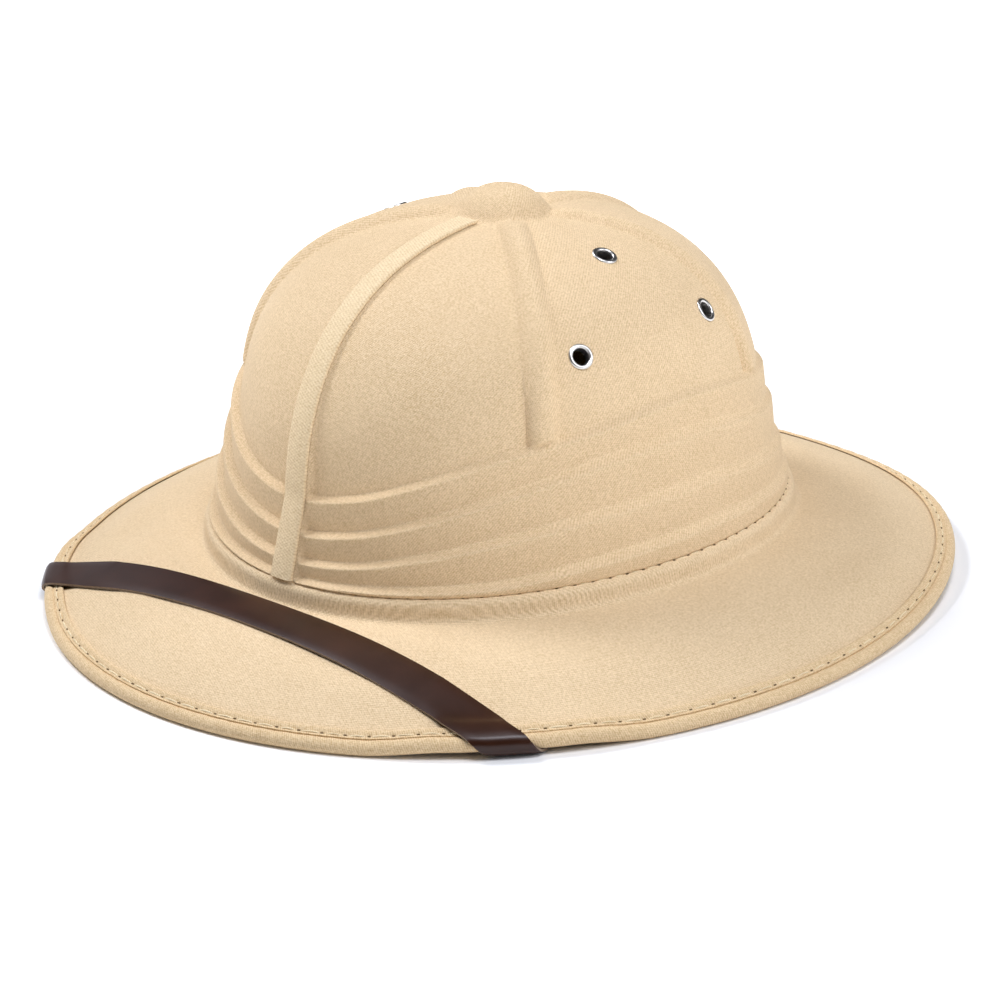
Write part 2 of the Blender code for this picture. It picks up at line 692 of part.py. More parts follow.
def crown_mesh():
    """Return the crown as one closed shell, open only at its foot."""
    columns = crown_columns()
    outer = []
    for reach in (0.36, 0.66, 0.90, 1.12):
        spread = reach * BOSS_RADIUS / (0.5 * (DOME_HALF_LENGTH + DOME_HALF_WIDTH))
        ring = []
        for column in columns:
            angle = column_angle(column, spread)
            height = height_at_spread(spread)
            offset = column.offset if column.share == 0.0 else 2.0 * RIB_HALF_WIDTH
            ring.append(dome_point(angle, height, crown_offset(angle, height, spread, column.rib, offset)))
        outer.append(ring)
    below = []
    for column in columns:
        line = []
        count = len(crown_row_heights(0.0))
        for row in range(count):
            angle = column_angle(column, 1.0)
            for _ in range(4):
                height = crown_row_heights(angle)[row]
                spread = dome_spread(angle, height)
                angle = column_angle(column, spread)
            offset = column.offset if column.share == 0.0 else 2.0 * RIB_HALF_WIDTH
            line.append(dome_point(angle, height, crown_offset(angle, height, spread, column.rib, offset)))
        below.append(line)
    outer += [list(ring) for ring in zip(*below)]
    inner = []
    above_collar = COLLAR_HEIGHT + 1.5 * MM
    turns = np.linspace(0.0, pi / 2.0 - 0.2, INNER_ROWS)
    heights = [SEAT_GAP] + [above_collar + (DOME_HEIGHT - above_collar) * sin(t) ** 0.9 for t in turns]
    for height in heights:
        inner.append([crown_inner(column_angle(column, 1.0), height) for column in columns])
    top = [[dome_point(0.0, DOME_HEIGHT, BOSS_HEIGHT)]]
    bottom = [[dome_point(0.0, DOME_HEIGHT, -CROWN_WALL)]]
    return skin("crown", top + outer + inner + bottom)


def tape_mesh():
    """Return the front tape, which lies over the front rib from the seam to the boss."""
    half = 0.5 * TAPE_WIDTH
    knots = (-half, -RIB_ROWS[1].offset * RIB_HALF_WIDTH, RIB_ROWS[1].offset * RIB_HALF_WIDTH, half)
    top_spread = TAPE_TOP_REACH / DOME_HALF_LENGTH
    heights = [h for h in crown_row_heights(0.0) if h < height_at_spread(top_spread) and h > TAPE_FOOT_HEIGHT]
    heights = [height_at_spread(top_spread)] + heights + [TAPE_FOOT_HEIGHT]
    sections = []
    for height in heights:
        spread = dome_spread(0.0, height)
        near, far = [], []
        for offset in knots:
            angle = offset / oval_speed(0.0, spread)
            base = crown_offset(angle, height, spread, 0, offset) + TAPE_GAP
            near.append(dome_point(angle, height, base))
            far.append(dome_point(angle, height, base + TAPE_THICKNESS))
        sections.append(near + far[::-1])
    return strip("front_tape", sections)


def strap_mesh():
    """Return the chin strap, from its end under one side of the brim, over the front, to its other end."""
    left = strap_half()
    right = [
        Station([Vector((-p.x, p.y, p.z)) for p in s.points], [Vector((-o.x, o.y, o.z)) for o in s.outs])
        for s in left[:0:-1]
    ]
    sections = []
    for station in right + left:
        near = station.points
        far = [p + o * STRAP_THICKNESS for p, o in zip(station.points, station.outs)]
        sections.append(near + far[::-1])
    return strip("chin_strap", sections)


def eyelet_rows():
    """Return the turned section of an eyelet, down its outer side and back up its bore."""
    top = SEAT_GAP + EYELET_FLANGE
    under = -CROWN_WALL - EYELET_INNER_GAP
    rim = EYELET_FLANGE_RADIUS
    return [
        EyeletRow(0.5 * (rim + EYELET_BORE_RADIUS), top),
        EyeletRow(rim - 0.3 * MM, SEAT_GAP + 0.65 * EYELET_FLANGE),
        EyeletRow(rim, SEAT_GAP),
        EyeletRow(EYELET_BARREL_RADIUS, SEAT_GAP),
        EyeletRow(EYELET_BARREL_RADIUS, under),
        EyeletRow(rim, under),
        EyeletRow(rim - 0.4 * MM, under - 0.5 * EYELET_FLANGE),
        EyeletRow(EYELET_BORE_RADIUS, under - 0.3 * EYELET_FLANGE),
        EyeletRow(EYELET_BORE_RADIUS, SEAT_GAP + 0.6 * EYELET_FLANGE),
    ]


def eyelet_mesh():
    """Return an eyelet about its own Z axis, with the cloth's outer face at z = 0."""
    rings = []
    for row in eyelet_rows():
        turns = [tau * k / EYELET_STEPS for k in range(EYELET_STEPS)]
        rings.append([Vector((row.radius * cos(t), row.radius * sin(t), row.height)) for t in turns])
    return skin("eyelet", rings, closed_rows=True)


def eyelet_matrix(y, height, side):
    """Return an eyelet's place on the crown from its Y and its height above the seam."""
    spread = curve_spread(height)
    angle = acos((DOME_APEX_BACK * (1.0 - spread) - y) / (DOME_HALF_LENGTH * spread)) * side
    point = dome_point(angle, height, 0.0)
    normal = (dome_point(angle, height, 1.0) - point).normalized()
    return centred() @ Matrix.Translation(point) @ normal.to_track_quat("Z", "Y").to_matrix().to_4x4()


def build():
    """Build every piece of the hat."""
    for old in list(bpy.data.objects):
        bpy.data.objects.remove(old, do_unlink=True)
    hat = bpy.data.collections.new("pith_helmet")
    cutters = bpy.data.collections.new("cutters")
    bpy.context.scene.collection.children.link(hat)
    bpy.context.scene.collection.children.link(cutters)
    cloth = (0.74, 0.60, 0.41)

    crown = place(hat, "crown", crown_mesh(), material("crown_cloth", cloth, 0.85))
    angles = [tau * (k + 0.5) / BRIM_COLUMNS for k in range(BRIM_COLUMNS)]
    brim_rings = [list(ring) for ring in zip(*[brim_section(a) for a in angles])]
    place(hat, "brim", skin("brim", brim_rings, closed_rows=True), material("brim_cloth", cloth, 0.85))
    binding_rings = [list(ring) for ring in zip(*[binding_section(a) for a in angles])]
    place(hat, "edge_binding", skin("edge_binding", binding_rings, closed_rows=True),
          material("binding_cloth", cloth, 0.85))
    place(hat, "front_tape", tape_mesh(), material("tape_cloth", (0.66, 0.52, 0.34), 0.9))
    place(hat, "chin_strap", strap_mesh(), material("strap_leather", (0.085, 0.035, 0.016), 0.45))

    metal = material("eyelet_metal", (0.75, 0.74, 0.73), 0.18, 1.0)
    ring = eyelet_mesh()
    for side, turn in (("left", 1.0), ("right", -1.0)):
        for label, behind, height in EYELET_PLACES:
            matrix = eyelet_matrix(behind * DOME_HALF_LENGTH, height * DOME_HEIGHT, turn)
            place(hat, f"eyelet_{side}_{label}", ring, metal, matrix)
            bpy.ops.mesh.primitive_cylinder_add(vertices=EYELET_STEPS, radius=EYELET_HOLE_RADIUS, depth=12.0 * MM)
            cutter = bpy.context.object
            cutter.name = f"eyelet_hole_{side}_{label}"
            cutter.matrix_world = matrix
            cutter.hide_render = True
            cutter.display_type = "WIRE"
            for owner in list(cutter.users_collection):
                owner.objects.unlink(cutter)
            cutters.objects.link(cutter)
    cut = crown.modifiers.new("eyelet_holes", "BOOLEAN")
    cut.operation = "DIFFERENCE"
    cut.operand_type = "COLLECTION"
    cut.collection = cutters
    cut.solver = "EXACT"


build()
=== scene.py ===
"""Looks of a pith helmet: moulded twill crown, lapped pleats, sloping bound brim and leather chin strap.

Lengths are metres. The rim rests on z = 0, the front looks along -Y and the wearer's left is +X.
An angle around the hat starts at the front and grows towards the wearer's left, as the parameter of an oval.
"""

from __future__ import annotations

import json
import logging
import math
from dataclasses import dataclass
from enum import Enum

import bmesh
import bpy
import numpy as np
from mathutils import Matrix, Vector

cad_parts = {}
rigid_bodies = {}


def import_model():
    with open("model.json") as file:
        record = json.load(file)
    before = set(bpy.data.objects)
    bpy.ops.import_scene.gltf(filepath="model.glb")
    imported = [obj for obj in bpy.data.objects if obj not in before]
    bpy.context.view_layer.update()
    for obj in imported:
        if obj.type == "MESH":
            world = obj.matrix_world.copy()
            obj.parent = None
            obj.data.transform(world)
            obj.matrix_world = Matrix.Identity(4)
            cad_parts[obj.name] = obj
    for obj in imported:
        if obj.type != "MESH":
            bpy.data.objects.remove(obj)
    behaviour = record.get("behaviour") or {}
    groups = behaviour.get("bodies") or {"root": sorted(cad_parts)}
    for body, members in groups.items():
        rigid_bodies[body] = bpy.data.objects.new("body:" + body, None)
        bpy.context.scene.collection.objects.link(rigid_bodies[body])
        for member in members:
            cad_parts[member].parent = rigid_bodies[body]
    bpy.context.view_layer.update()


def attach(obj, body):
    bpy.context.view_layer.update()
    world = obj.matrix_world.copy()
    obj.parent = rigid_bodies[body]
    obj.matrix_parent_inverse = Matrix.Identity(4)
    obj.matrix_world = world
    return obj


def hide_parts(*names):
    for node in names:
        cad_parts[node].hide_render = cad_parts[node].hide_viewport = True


MM = 0.001
TAU = 2.0 * math.pi
Array = np.ndarray
LOG = logging.getLogger("pith_helmet")
# A wave texture whose scale is this, over a length in metres, repeats once in that length
WAVE_IN_A_METRE = 0.31416
# Steps of a halving search, past which the place found no longer moves
HALVINGS = 40
# A small turn round the hat, over which the way along the rim or the seam is taken
SMALL_TURN = 0.004
# Faces that meet at more than this angle keep a hard edge between them
SHARP_FROM = math.radians(50.0)


class Ends(Enum):
    """How a loft of rings is closed at its two ends."""

    LOOP = "the last ring joins the first"
    POLES = "each end ring shrinks to one point"
    FLAT = "a flat face closes each end"


class Side(Enum):
    """A side of the hat, as the wearer has it."""

    LEFT = 1.0
    RIGHT = -1.0


@dataclass(frozen=True)
class LipRow:
    """Heights of the four pleat lips at one angle, as shares of the dome's height."""

    angle: float
    first: float
    second: float
    third: float
    fourth: float


LIP_ROWS = (
    LipRow(0, 0.281, 0.165, 0.075, 0.014),
    LipRow(15, 0.308, 0.189, 0.089, 0.020),
    LipRow(30, 0.372, 0.245, 0.130, 0.026),
    LipRow(45, 0.437, 0.309, 0.172, 0.034),
    LipRow(65, 0.484, 0.375, 0.212, 0.065),
    LipRow(90, 0.520, 0.395, 0.222, 0.081),
    LipRow(120, 0.465, 0.335, 0.175, 0.064),
    LipRow(180, 0.410, 0.290, 0.160, 0.058),
)


@dataclass(frozen=True)
class ShoulderRow:
    """A point of the round shoulder under the seam: how far outside the crown's foot and below the seam."""

    out: float
    down: float


SHOULDER_ROWS = (
    ShoulderRow(-0.7 * MM, -0.20 * MM),
    ShoulderRow(0.0 * MM, -0.30 * MM),
    ShoulderRow(0.8 * MM, -0.05 * MM),
    ShoulderRow(1.7 * MM, 0.85 * MM),
    ShoulderRow(2.2 * MM, 2.0 * MM),
    ShoulderRow(2.4 * MM, 3.4 * MM),
    ShoulderRow(2.6 * MM, 4.7 * MM),
    ShoulderRow(3.2 * MM, 5.8 * MM),
    ShoulderRow(4.6 * MM, 6.4 * MM),
)


@dataclass(frozen=True)
class EyeletPlace:
    """Where an eyelet sits on a side of the crown, as shares of the dome's half length and of its height."""

    label: str
    behind: float
    height: float


EYELET_PLACES = (
    EyeletPlace("upper", 0.0, 0.9335),
    EyeletPlace("front", -0.3485, 0.7106),
    EyeletPlace("back", 0.2677, 0.7260),
)


@dataclass(frozen=True)
class FootRow:
    """A row of the crown's turned-in foot: how far above its lowest edge, and how far drawn in."""

    above: float
    drawn_in: float


FOOT_ROWS = (
    FootRow(0.90 * MM, 0.00 * MM),
    FootRow(0.50 * MM, 0.05 * MM),
    FootRow(0.20 * MM, 0.20 * MM),
    FootRow(0.00 * MM, 0.45 * MM),
    FootRow(-0.05 * MM, 0.90 * MM),
)


@dataclass(frozen=True)
class FlapRow:
    """A row of the binding's flap: how far inside the roll, and its height as a share of the strip's wall."""

    inward: float
    above: float


UPPER_FLAP_ROWS = (
    FlapRow(4.80 * MM, 0.18),
    FlapRow(4.78 * MM, 0.55),
    FlapRow(4.60 * MM, 0.86),
    FlapRow(4.30 * MM, 0.97),
    FlapRow(3.90 * MM, 1.00),
    FlapRow(3.50 * MM, 0.93),
)
UNDER_FLAP_ROWS = (
    FlapRow(2.40 * MM, 1.00),
    FlapRow(3.60 * MM, 1.00),
    FlapRow(4.60 * MM, 0.90),
    FlapRow(4.80 * MM, 0.45),
)


@dataclass(frozen=True)
class GrooveRow:
    """A row of the groove that the stitches pull into the binding: how far inside the roll, and how deep."""

    inward: float
    depth: float


GROOVE_ROWS = (
    GrooveRow(3.10 * MM, 0.28 * MM),
    GrooveRow(2.70 * MM, 0.42 * MM),
    GrooveRow(2.30 * MM, 0.26 * MM),
    GrooveRow(1.80 * MM, 0.04 * MM),
)


@dataclass(frozen=True)
class TapeLine:
    """A line along the tape: its share of the half width, and of the thickness there."""

    across: float
    thick: float


TAPE_LINES = (
    TapeLine(0.00, 1.00),
    TapeLine(0.40, 0.93),
    TapeLine(0.70, 0.94),
    TapeLine(0.86, 1.00),
    TapeLine(0.97, 0.85),
    TapeLine(1.00, 0.45),
)


@dataclass(frozen=True)
class WrapRow:
    """A station of the strap round the rim.

    It has the distance inside the roll, the height above the wall's middle, the turn round the roll in
    degrees, and how far the strap has come over the brim, round the roll and back under the brim.
    """

    inward: float
    above: float
    turn: float
    over: float
    round_it: float
    under: float


@dataclass(frozen=True)
class Softbox:
    """A square soft light: its degrees round the hat and above the floor, its side and its power in watts."""

    name: str
    azimuth: float
    elevation: float
    side: float
    power: float


SOFTBOXES = (
    Softbox("left_softbox", -76.0, 50.0, 0.5, 19.5),
    Softbox("high_softbox", 72.0, 72.0, 0.6, 15.0),
    Softbox("right_softbox", 110.0, 34.0, 0.8, 9.4),
    Softbox("low_left_fill", -110.0, 15.0, 0.8, 0.6),
    Softbox("low_right_fill", 110.0, 15.0, 0.8, 0.8),
)


def ease(value: Array | float) -> Array:
    """Return an eased share, flat at 0 and at 1."""
    share = np.clip(value, 0.0, 1.0)
    return share * share * (3.0 - 2.0 * share)


def unit(vectors: Array) -> Array:
    """Return vectors made one unit long."""
    return vectors / np.maximum(np.linalg.norm(vectors, axis=-1, keepdims=True), 1e-12)


def smooth_path(points: Array, steps: int) -> Array:
    """Return points along a smooth curve through the given ones.

    Args:
        points: the points to pass through, in order, along the first axis.
        steps: how many steps to take between two of them.

    Returns:
        The points of the curve, both ends included.
    """
    padded = np.concatenate([[2 * points[0] - points[1]], points, [2 * points[-1] - points[-2]]])
    out = []
    for k in range(1, len(padded) - 2):
        a, b, c, d = padded[k - 1], padded[k], padded[k + 1], padded[k + 2]
        for step in range(steps):
            t = step / steps
            out.append(0.5 * (2 * b + (c - a) * t + (2 * a - 5 * b + 4 * c - d) * t**2
                              + (3 * b - a - 3 * c + d) * t**3))
    out.append(padded[-2])
    return np.array(out)


@dataclass(frozen=True)
class HatShape:
    """The hat's named sizes and the faces that its pieces share."""

    dome_half_length: float = 99.0 * MM
    dome_half_width: float = 85.9 * MM
    dome_height: float = 97.8 * MM
    dome_power: float = 2.88
    apex_back: float = 4.0 * MM
    crown_wall: float = 2.0 * MM
    wall_lean: float = 0.12
    wall_flare: float = 2.6 * MM
    inner_steps: float = 3.2
    pleat_step: float = 1.15 * MM
    pleat_lip: float = 0.85 * MM
    seam_front: float = 26.9 * MM
    seam_side_rise: float = 3.8 * MM
    seam_back_drop: float = 3.4 * MM
    seat_gap: float = 0.30 * MM
    collar_gap: float = 0.50 * MM
    collar_wall: float = 2.0 * MM
    collar_height: float = 10.0 * MM
    brim_start_out: float = 4.6 * MM
    brim_start_down: float = 6.4 * MM
    brim_wall: float = 3.0 * MM
    brim_edge_wall: float = 1.6 * MM
    brim_bulge: float = 3.0 * MM
    thinning_from: float = 0.86
    thinning_over: float = 0.3
    brim_into_roll: float = 1.1 * MM
    rim_half_length: float = 165.0 * MM
    rim_half_width: float = 150.2 * MM
    rim_back_length: float = 159.0 * MM
    rim_back_power: float = 2.1
    rim_side_lift: float = 3.8 * MM
    rim_lift_centre: float = math.radians(134.0)
    rim_lift_reach: float = math.radians(46.0)
    roll_radius: float = 2.4 * MM
    binding_wall: float = 0.9 * MM
    binding_flap: float = 4.8 * MM
    strap_nip: float = 1.9 * MM
    strap_nip_angle: float = math.radians(45.0)
    strap_nip_level: float = math.radians(7.5)
    strap_nip_reach: float = math.radians(17.5)

    @property
    def foot_widening(self) -> float:
        """Return how far the crown's foot stands outside the plain dome."""
        return self.wall_flare + 4.0 * self.pleat_step

    @property
    def centring(self) -> float:
        """Return how far the crown's middle lies behind the middle of the footprint."""
        return 0.5 * (self.rim_half_length - self.rim_back_length)

    def around(self, angle: Array) -> Array:
        """Return an angle's distance from the front, either way round."""
        return np.abs((angle + np.pi) % TAU - np.pi)

    def lips(self, angle: Array) -> Array:
        """Return the heights of the four pleat lips above the seam.

        Args:
            angle: angles around the hat.

        Returns:
            Four arrays like angle, from the top lip down.
        """
        away = self.around(angle)
        knots = np.radians([row.angle for row in LIP_ROWS])
        index = np.clip(np.searchsorted(knots, away, side="right") - 1, 0, len(knots) - 2)
        span = knots[index + 1] - knots[index]
        t = (away - knots[index]) / span
        found = []
        for column in ("first", "second", "third", "fourth"):
            values = np.array([getattr(row, column) for row in LIP_ROWS])
            slopes = np.gradient(values, knots)
            slopes[0] = slopes[-1] = 0.0
            start = (2 * t**3 - 3 * t**2 + 1) * values[index] + (t**3 - 2 * t**2 + t) * span * slopes[index]
            end = (3 * t**2 - 2 * t**3) * values[index + 1] + (t**3 - t**2) * span * slopes[index + 1]
            found.append((start + end) * self.dome_height)
        return np.array(found)

    def seam(self, angle: Array) -> Array:
        """Return the seam's height above the plane that the rim rests on."""
        drop = self.seam_back_drop * (1.0 - np.cos(angle)) / 2.0
        return self.seam_front + self.seam_side_rise * np.sin(angle) ** 2 - drop

    def curve_spread(self, height: Array | float) -> Array:
        """Return how far the dome's curve has shrunk the oval at a height, as a share of its foot."""
        share = np.clip(np.asarray(height) / self.dome_height, 0.0, 1.0)
        return (1.0 - share**self.dome_power) ** (1.0 / self.dome_power)

    def spread(self, angle: Array, height: Array) -> Array:
        """Return how far the oval has shrunk, on the curve or on the straight wall under the pleats.

        Args:
            angle: angles around the hat.
            height: heights above the seam.

        Returns:
            The spread, 1 at the foot and 0 at the top.
        """
        top = self.lips(angle)[0]
        edge = self.curve_spread(top)
        wall = edge + (1.0 - edge) * np.clip(1.0 - height / top, 0.0, 1.0)
        return np.where(height >= top, self.curve_spread(height), wall)

    def dome(self, angle: Array, height: Array, offset: Array | float) -> Array:
        """Return points of the dome.

        Args:
            angle: angles around the hat.
            height: heights above the seam.
            offset: how far outside the plain dome.

        Returns:
            Points with X, Y and Z along the last axis.
        """
        angle, height, offset = np.broadcast_arrays(angle, height, offset)
        spread = self.spread(angle, height)
        x = self.dome_half_width * spread * np.sin(angle)
        y = -self.dome_half_length * spread * np.cos(angle) + self.apex_back * (1.0 - spread) + self.centring
        middle = self.seam(np.pi / 2.0)
        z = middle + (self.seam(angle) - middle) * spread + height
        flat = spread ** (self.dome_power - 1.0)
        out_x = flat * np.sin(angle) / self.dome_half_width
        out_y = -flat * np.cos(angle) / self.dome_half_length
        share = np.clip(height / self.dome_height, 0.0, 1.0)
        curved = share ** (self.dome_power - 1.0) / self.dome_height
        up = np.where(height < self.lips(angle)[0], self.wall_lean * np.hypot(out_x, out_y), curved)
        normal = unit(np.stack([out_x, out_y, up], -1))
        return np.stack([x, y, z], -1) + normal * offset[..., None]

    def widening(self, angle: Array, height: Array, steps: float) -> Array:
        """Return the even widening of the crown's foot, from the first pleat down to the seam."""
        top = self.lips(angle)[0]
        return (self.wall_flare + steps * self.pleat_step) * np.clip(1.0 - height / top, 0.0, 1.0)

    def rim_lift(self, angle: Array) -> Array:
        """Return how far the rim is raised at the rear sides."""
        away = np.abs(self.around(angle) - self.rim_lift_centre) / self.rim_lift_reach
        return self.rim_side_lift * np.cos(np.clip(away, 0.0, 1.0) * np.pi / 2.0) ** 2

    def nip(self, angle: Array) -> Array:
        """Return how far the strap pulls the rim up where it goes round it."""
        away = np.abs(self.around(angle) - self.strap_nip_angle) - self.strap_nip_level
        return self.strap_nip * ease(1.0 - away / (self.strap_nip_reach - self.strap_nip_level))

    def roll_middle(self, angle: Array) -> Array:
        """Return the middle of the binding's roll.

        Args:
            angle: angles around the hat.

        Returns:
            Points with X, Y and Z along the last axis.
        """
        across, along = np.sin(angle), -np.cos(angle)
        back = along > 0.0
        power = 2.0 / self.rim_back_power
        across = np.where(back, np.sign(across) * np.abs(across) ** power, across)
        along = np.where(back, np.abs(along) ** power, along)
        length = np.where(back, self.rim_back_length, self.rim_half_length) - self.roll_radius
        x = (self.rim_half_width - self.roll_radius) * across
        return np.stack([x, length * along + self.centring, self.roll_radius + self.rim_lift(angle)], -1)

    def brim_start(self, angle: Array) -> Array:
        """Return the middle of the brim's wall where it leaves the shoulder.

        Args:
            angle: angles around the hat.

        Returns:
            Points with X, Y and Z along the last axis.
        """
        out = self.foot_widening + self.brim_start_out
        x = (self.dome_half_width + out) * np.sin(angle)
        y = -(self.dome_half_length + out) * np.cos(angle) + self.centring
        return np.stack([x, y, self.seam(angle) - self.brim_start_down - self.brim_wall / 2.0], -1)

    def brim_middle(self, angle: Array, share: Array) -> Array:
        """Return the middle of the brim's wall at a share of the way from the shoulder to the rim.

        Args:
            angle: angles around the hat.
            share: 0 at the shoulder, 1 at the rim.

        Returns:
            Points with X, Y and Z along the last axis.
        """
        angle, share = np.broadcast_arrays(angle, share)
        start, end = self.brim_start(angle), self.roll_middle(angle)
        points = start + (end - start) * share[..., None]
        bulge = self.brim_bulge * 4.0 * share * (1.0 - share)
        points[..., 2] += bulge + self.nip(angle) * np.clip(share, 0.0, None) ** 3
        return points

    def brim_frame(self, angle: Array, share: Array) -> tuple[Array, Array, Array]:
        """Return the brim wall's middle, its way down the slope and its upward normal.

        Args:
            angle: angles around the hat.
            share: 0 at the shoulder, 1 at the rim.

        Returns:
            Points, ways down the slope and normals.
        """
        step = 0.01
        middle = self.brim_middle(angle, share)
        down = unit(self.brim_middle(angle, share + step) - self.brim_middle(angle, share - step))
        level = np.hypot(down[..., 0], down[..., 1])
        rise = -down[..., 2] / level
        normal = np.stack([rise * down[..., 0], rise * down[..., 1], level], -1)
        return middle, down, normal

    def brim_length(self, angle: Array) -> Array:
        """Return the plan distance from the shoulder to the roll's middle."""
        span = self.roll_middle(angle) - self.brim_start(angle)
        return np.hypot(span[..., 0], span[..., 1])

    def half_wall(self, share: Array | float) -> Array:
        """Return half the brim's wall, which is thinner inside the binding."""
        full = ease((self.thinning_from - share) / self.thinning_over)
        return 0.5 * (self.brim_edge_wall + (self.brim_wall - self.brim_edge_wall) * full)

    def near_rim(self, angle: Array, inward: float, above: Array | float) -> Array:
        """Return points near the rim, from the distance inside the roll and above the wall's middle.

        Args:
            angle: angles around the hat.
            inward: distance inside the roll's middle, less than 0 outside it.
            above: height above the wall's middle, less than 0 under it.

        Returns:
            Points with X, Y and Z along the last axis.
        """
        share = np.minimum(1.0 - inward / self.brim_length(angle), 1.0)
        middle, down, normal = self.brim_frame(angle, share)
        above = np.broadcast_to(above, np.shape(angle))[..., None]
        return middle + down * max(-inward, 0.0) + normal * above

    def plan_to_brim(self, x: Array, y: Array) -> tuple[Array, Array]:
        """Return the angle and the share of the front brim that lie at a place in plan.

        Args:
            x: distances to the wearer's left.
            y: distances to the back.

        Returns:
            The angles and the shares.
        """
        start_out = self.foot_widening + self.brim_start_out
        low, high = np.full_like(x, -0.1), np.full_like(x, 1.2)
        for _ in range(HALVINGS):
            share = 0.5 * (low + high)
            length = (self.dome_half_length + start_out) * (1 - share)
            length = length + (self.rim_half_length - self.roll_radius) * share
            width = (self.dome_half_width + start_out) * (1 - share)
            width = width + (self.rim_half_width - self.roll_radius) * share
            outside = np.hypot(x / width, (y - self.centring) / length) > 1.0
            low, high = np.where(outside, share, low), np.where(outside, high, share)
        return np.arctan2(x / width, -(y - self.centring) / length), 0.5 * (low + high)


def linear(code: str) -> tuple[float, float, float, float]:
    """Return an sRGB hex colour as linear red, green, blue and alpha.

    Args:
        code: the colour as # and six hex digits.

    Returns:
        The colour for a socket.
    """
    parts = [int(code[k:k + 2], 16) / 255.0 for k in (1, 3, 5)]
    flat = [c / 12.92 if c <= 0.04045 else ((c + 0.055) / 1.055) ** 2.4 for c in parts]
    return (flat[0], flat[1], flat[2], 1.0)


def add_node(tree: bpy.types.NodeTree, kind: str, sockets: dict | None = None, **settings) -> bpy.types.Node:
    """Add a node with its settings and links.

    Args:
        tree: the node tree to add to.
        kind: the node's type name.
        sockets: for each input, by name or number, the output to link or the value to set.
        settings: the node's own properties.

    Returns:
        The new node.
    """
    node = tree.nodes.new(kind)
    for key, value in settings.items():
        setattr(node, key, value)
    for key, value in (sockets or {}).items():
        if isinstance(value, bpy.types.NodeSocket):
            tree.links.new(value, node.inputs[key])
        else:
            node.inputs[key].default_value = value
    return node


def new_material(name: str) -> tuple[bpy.types.Material, bpy.types.NodeTree, bpy.types.Node]:
    """Return a fresh material, its tree and its Principled shader.

    Args:
        name: the material's name.

    Returns:
        The material, its node tree and its shader node.
    """
    made = bpy.data.materials.new(name)
    made.use_nodes = True
    return made, made.node_tree, made.node_tree.nodes["Principled BSDF"]


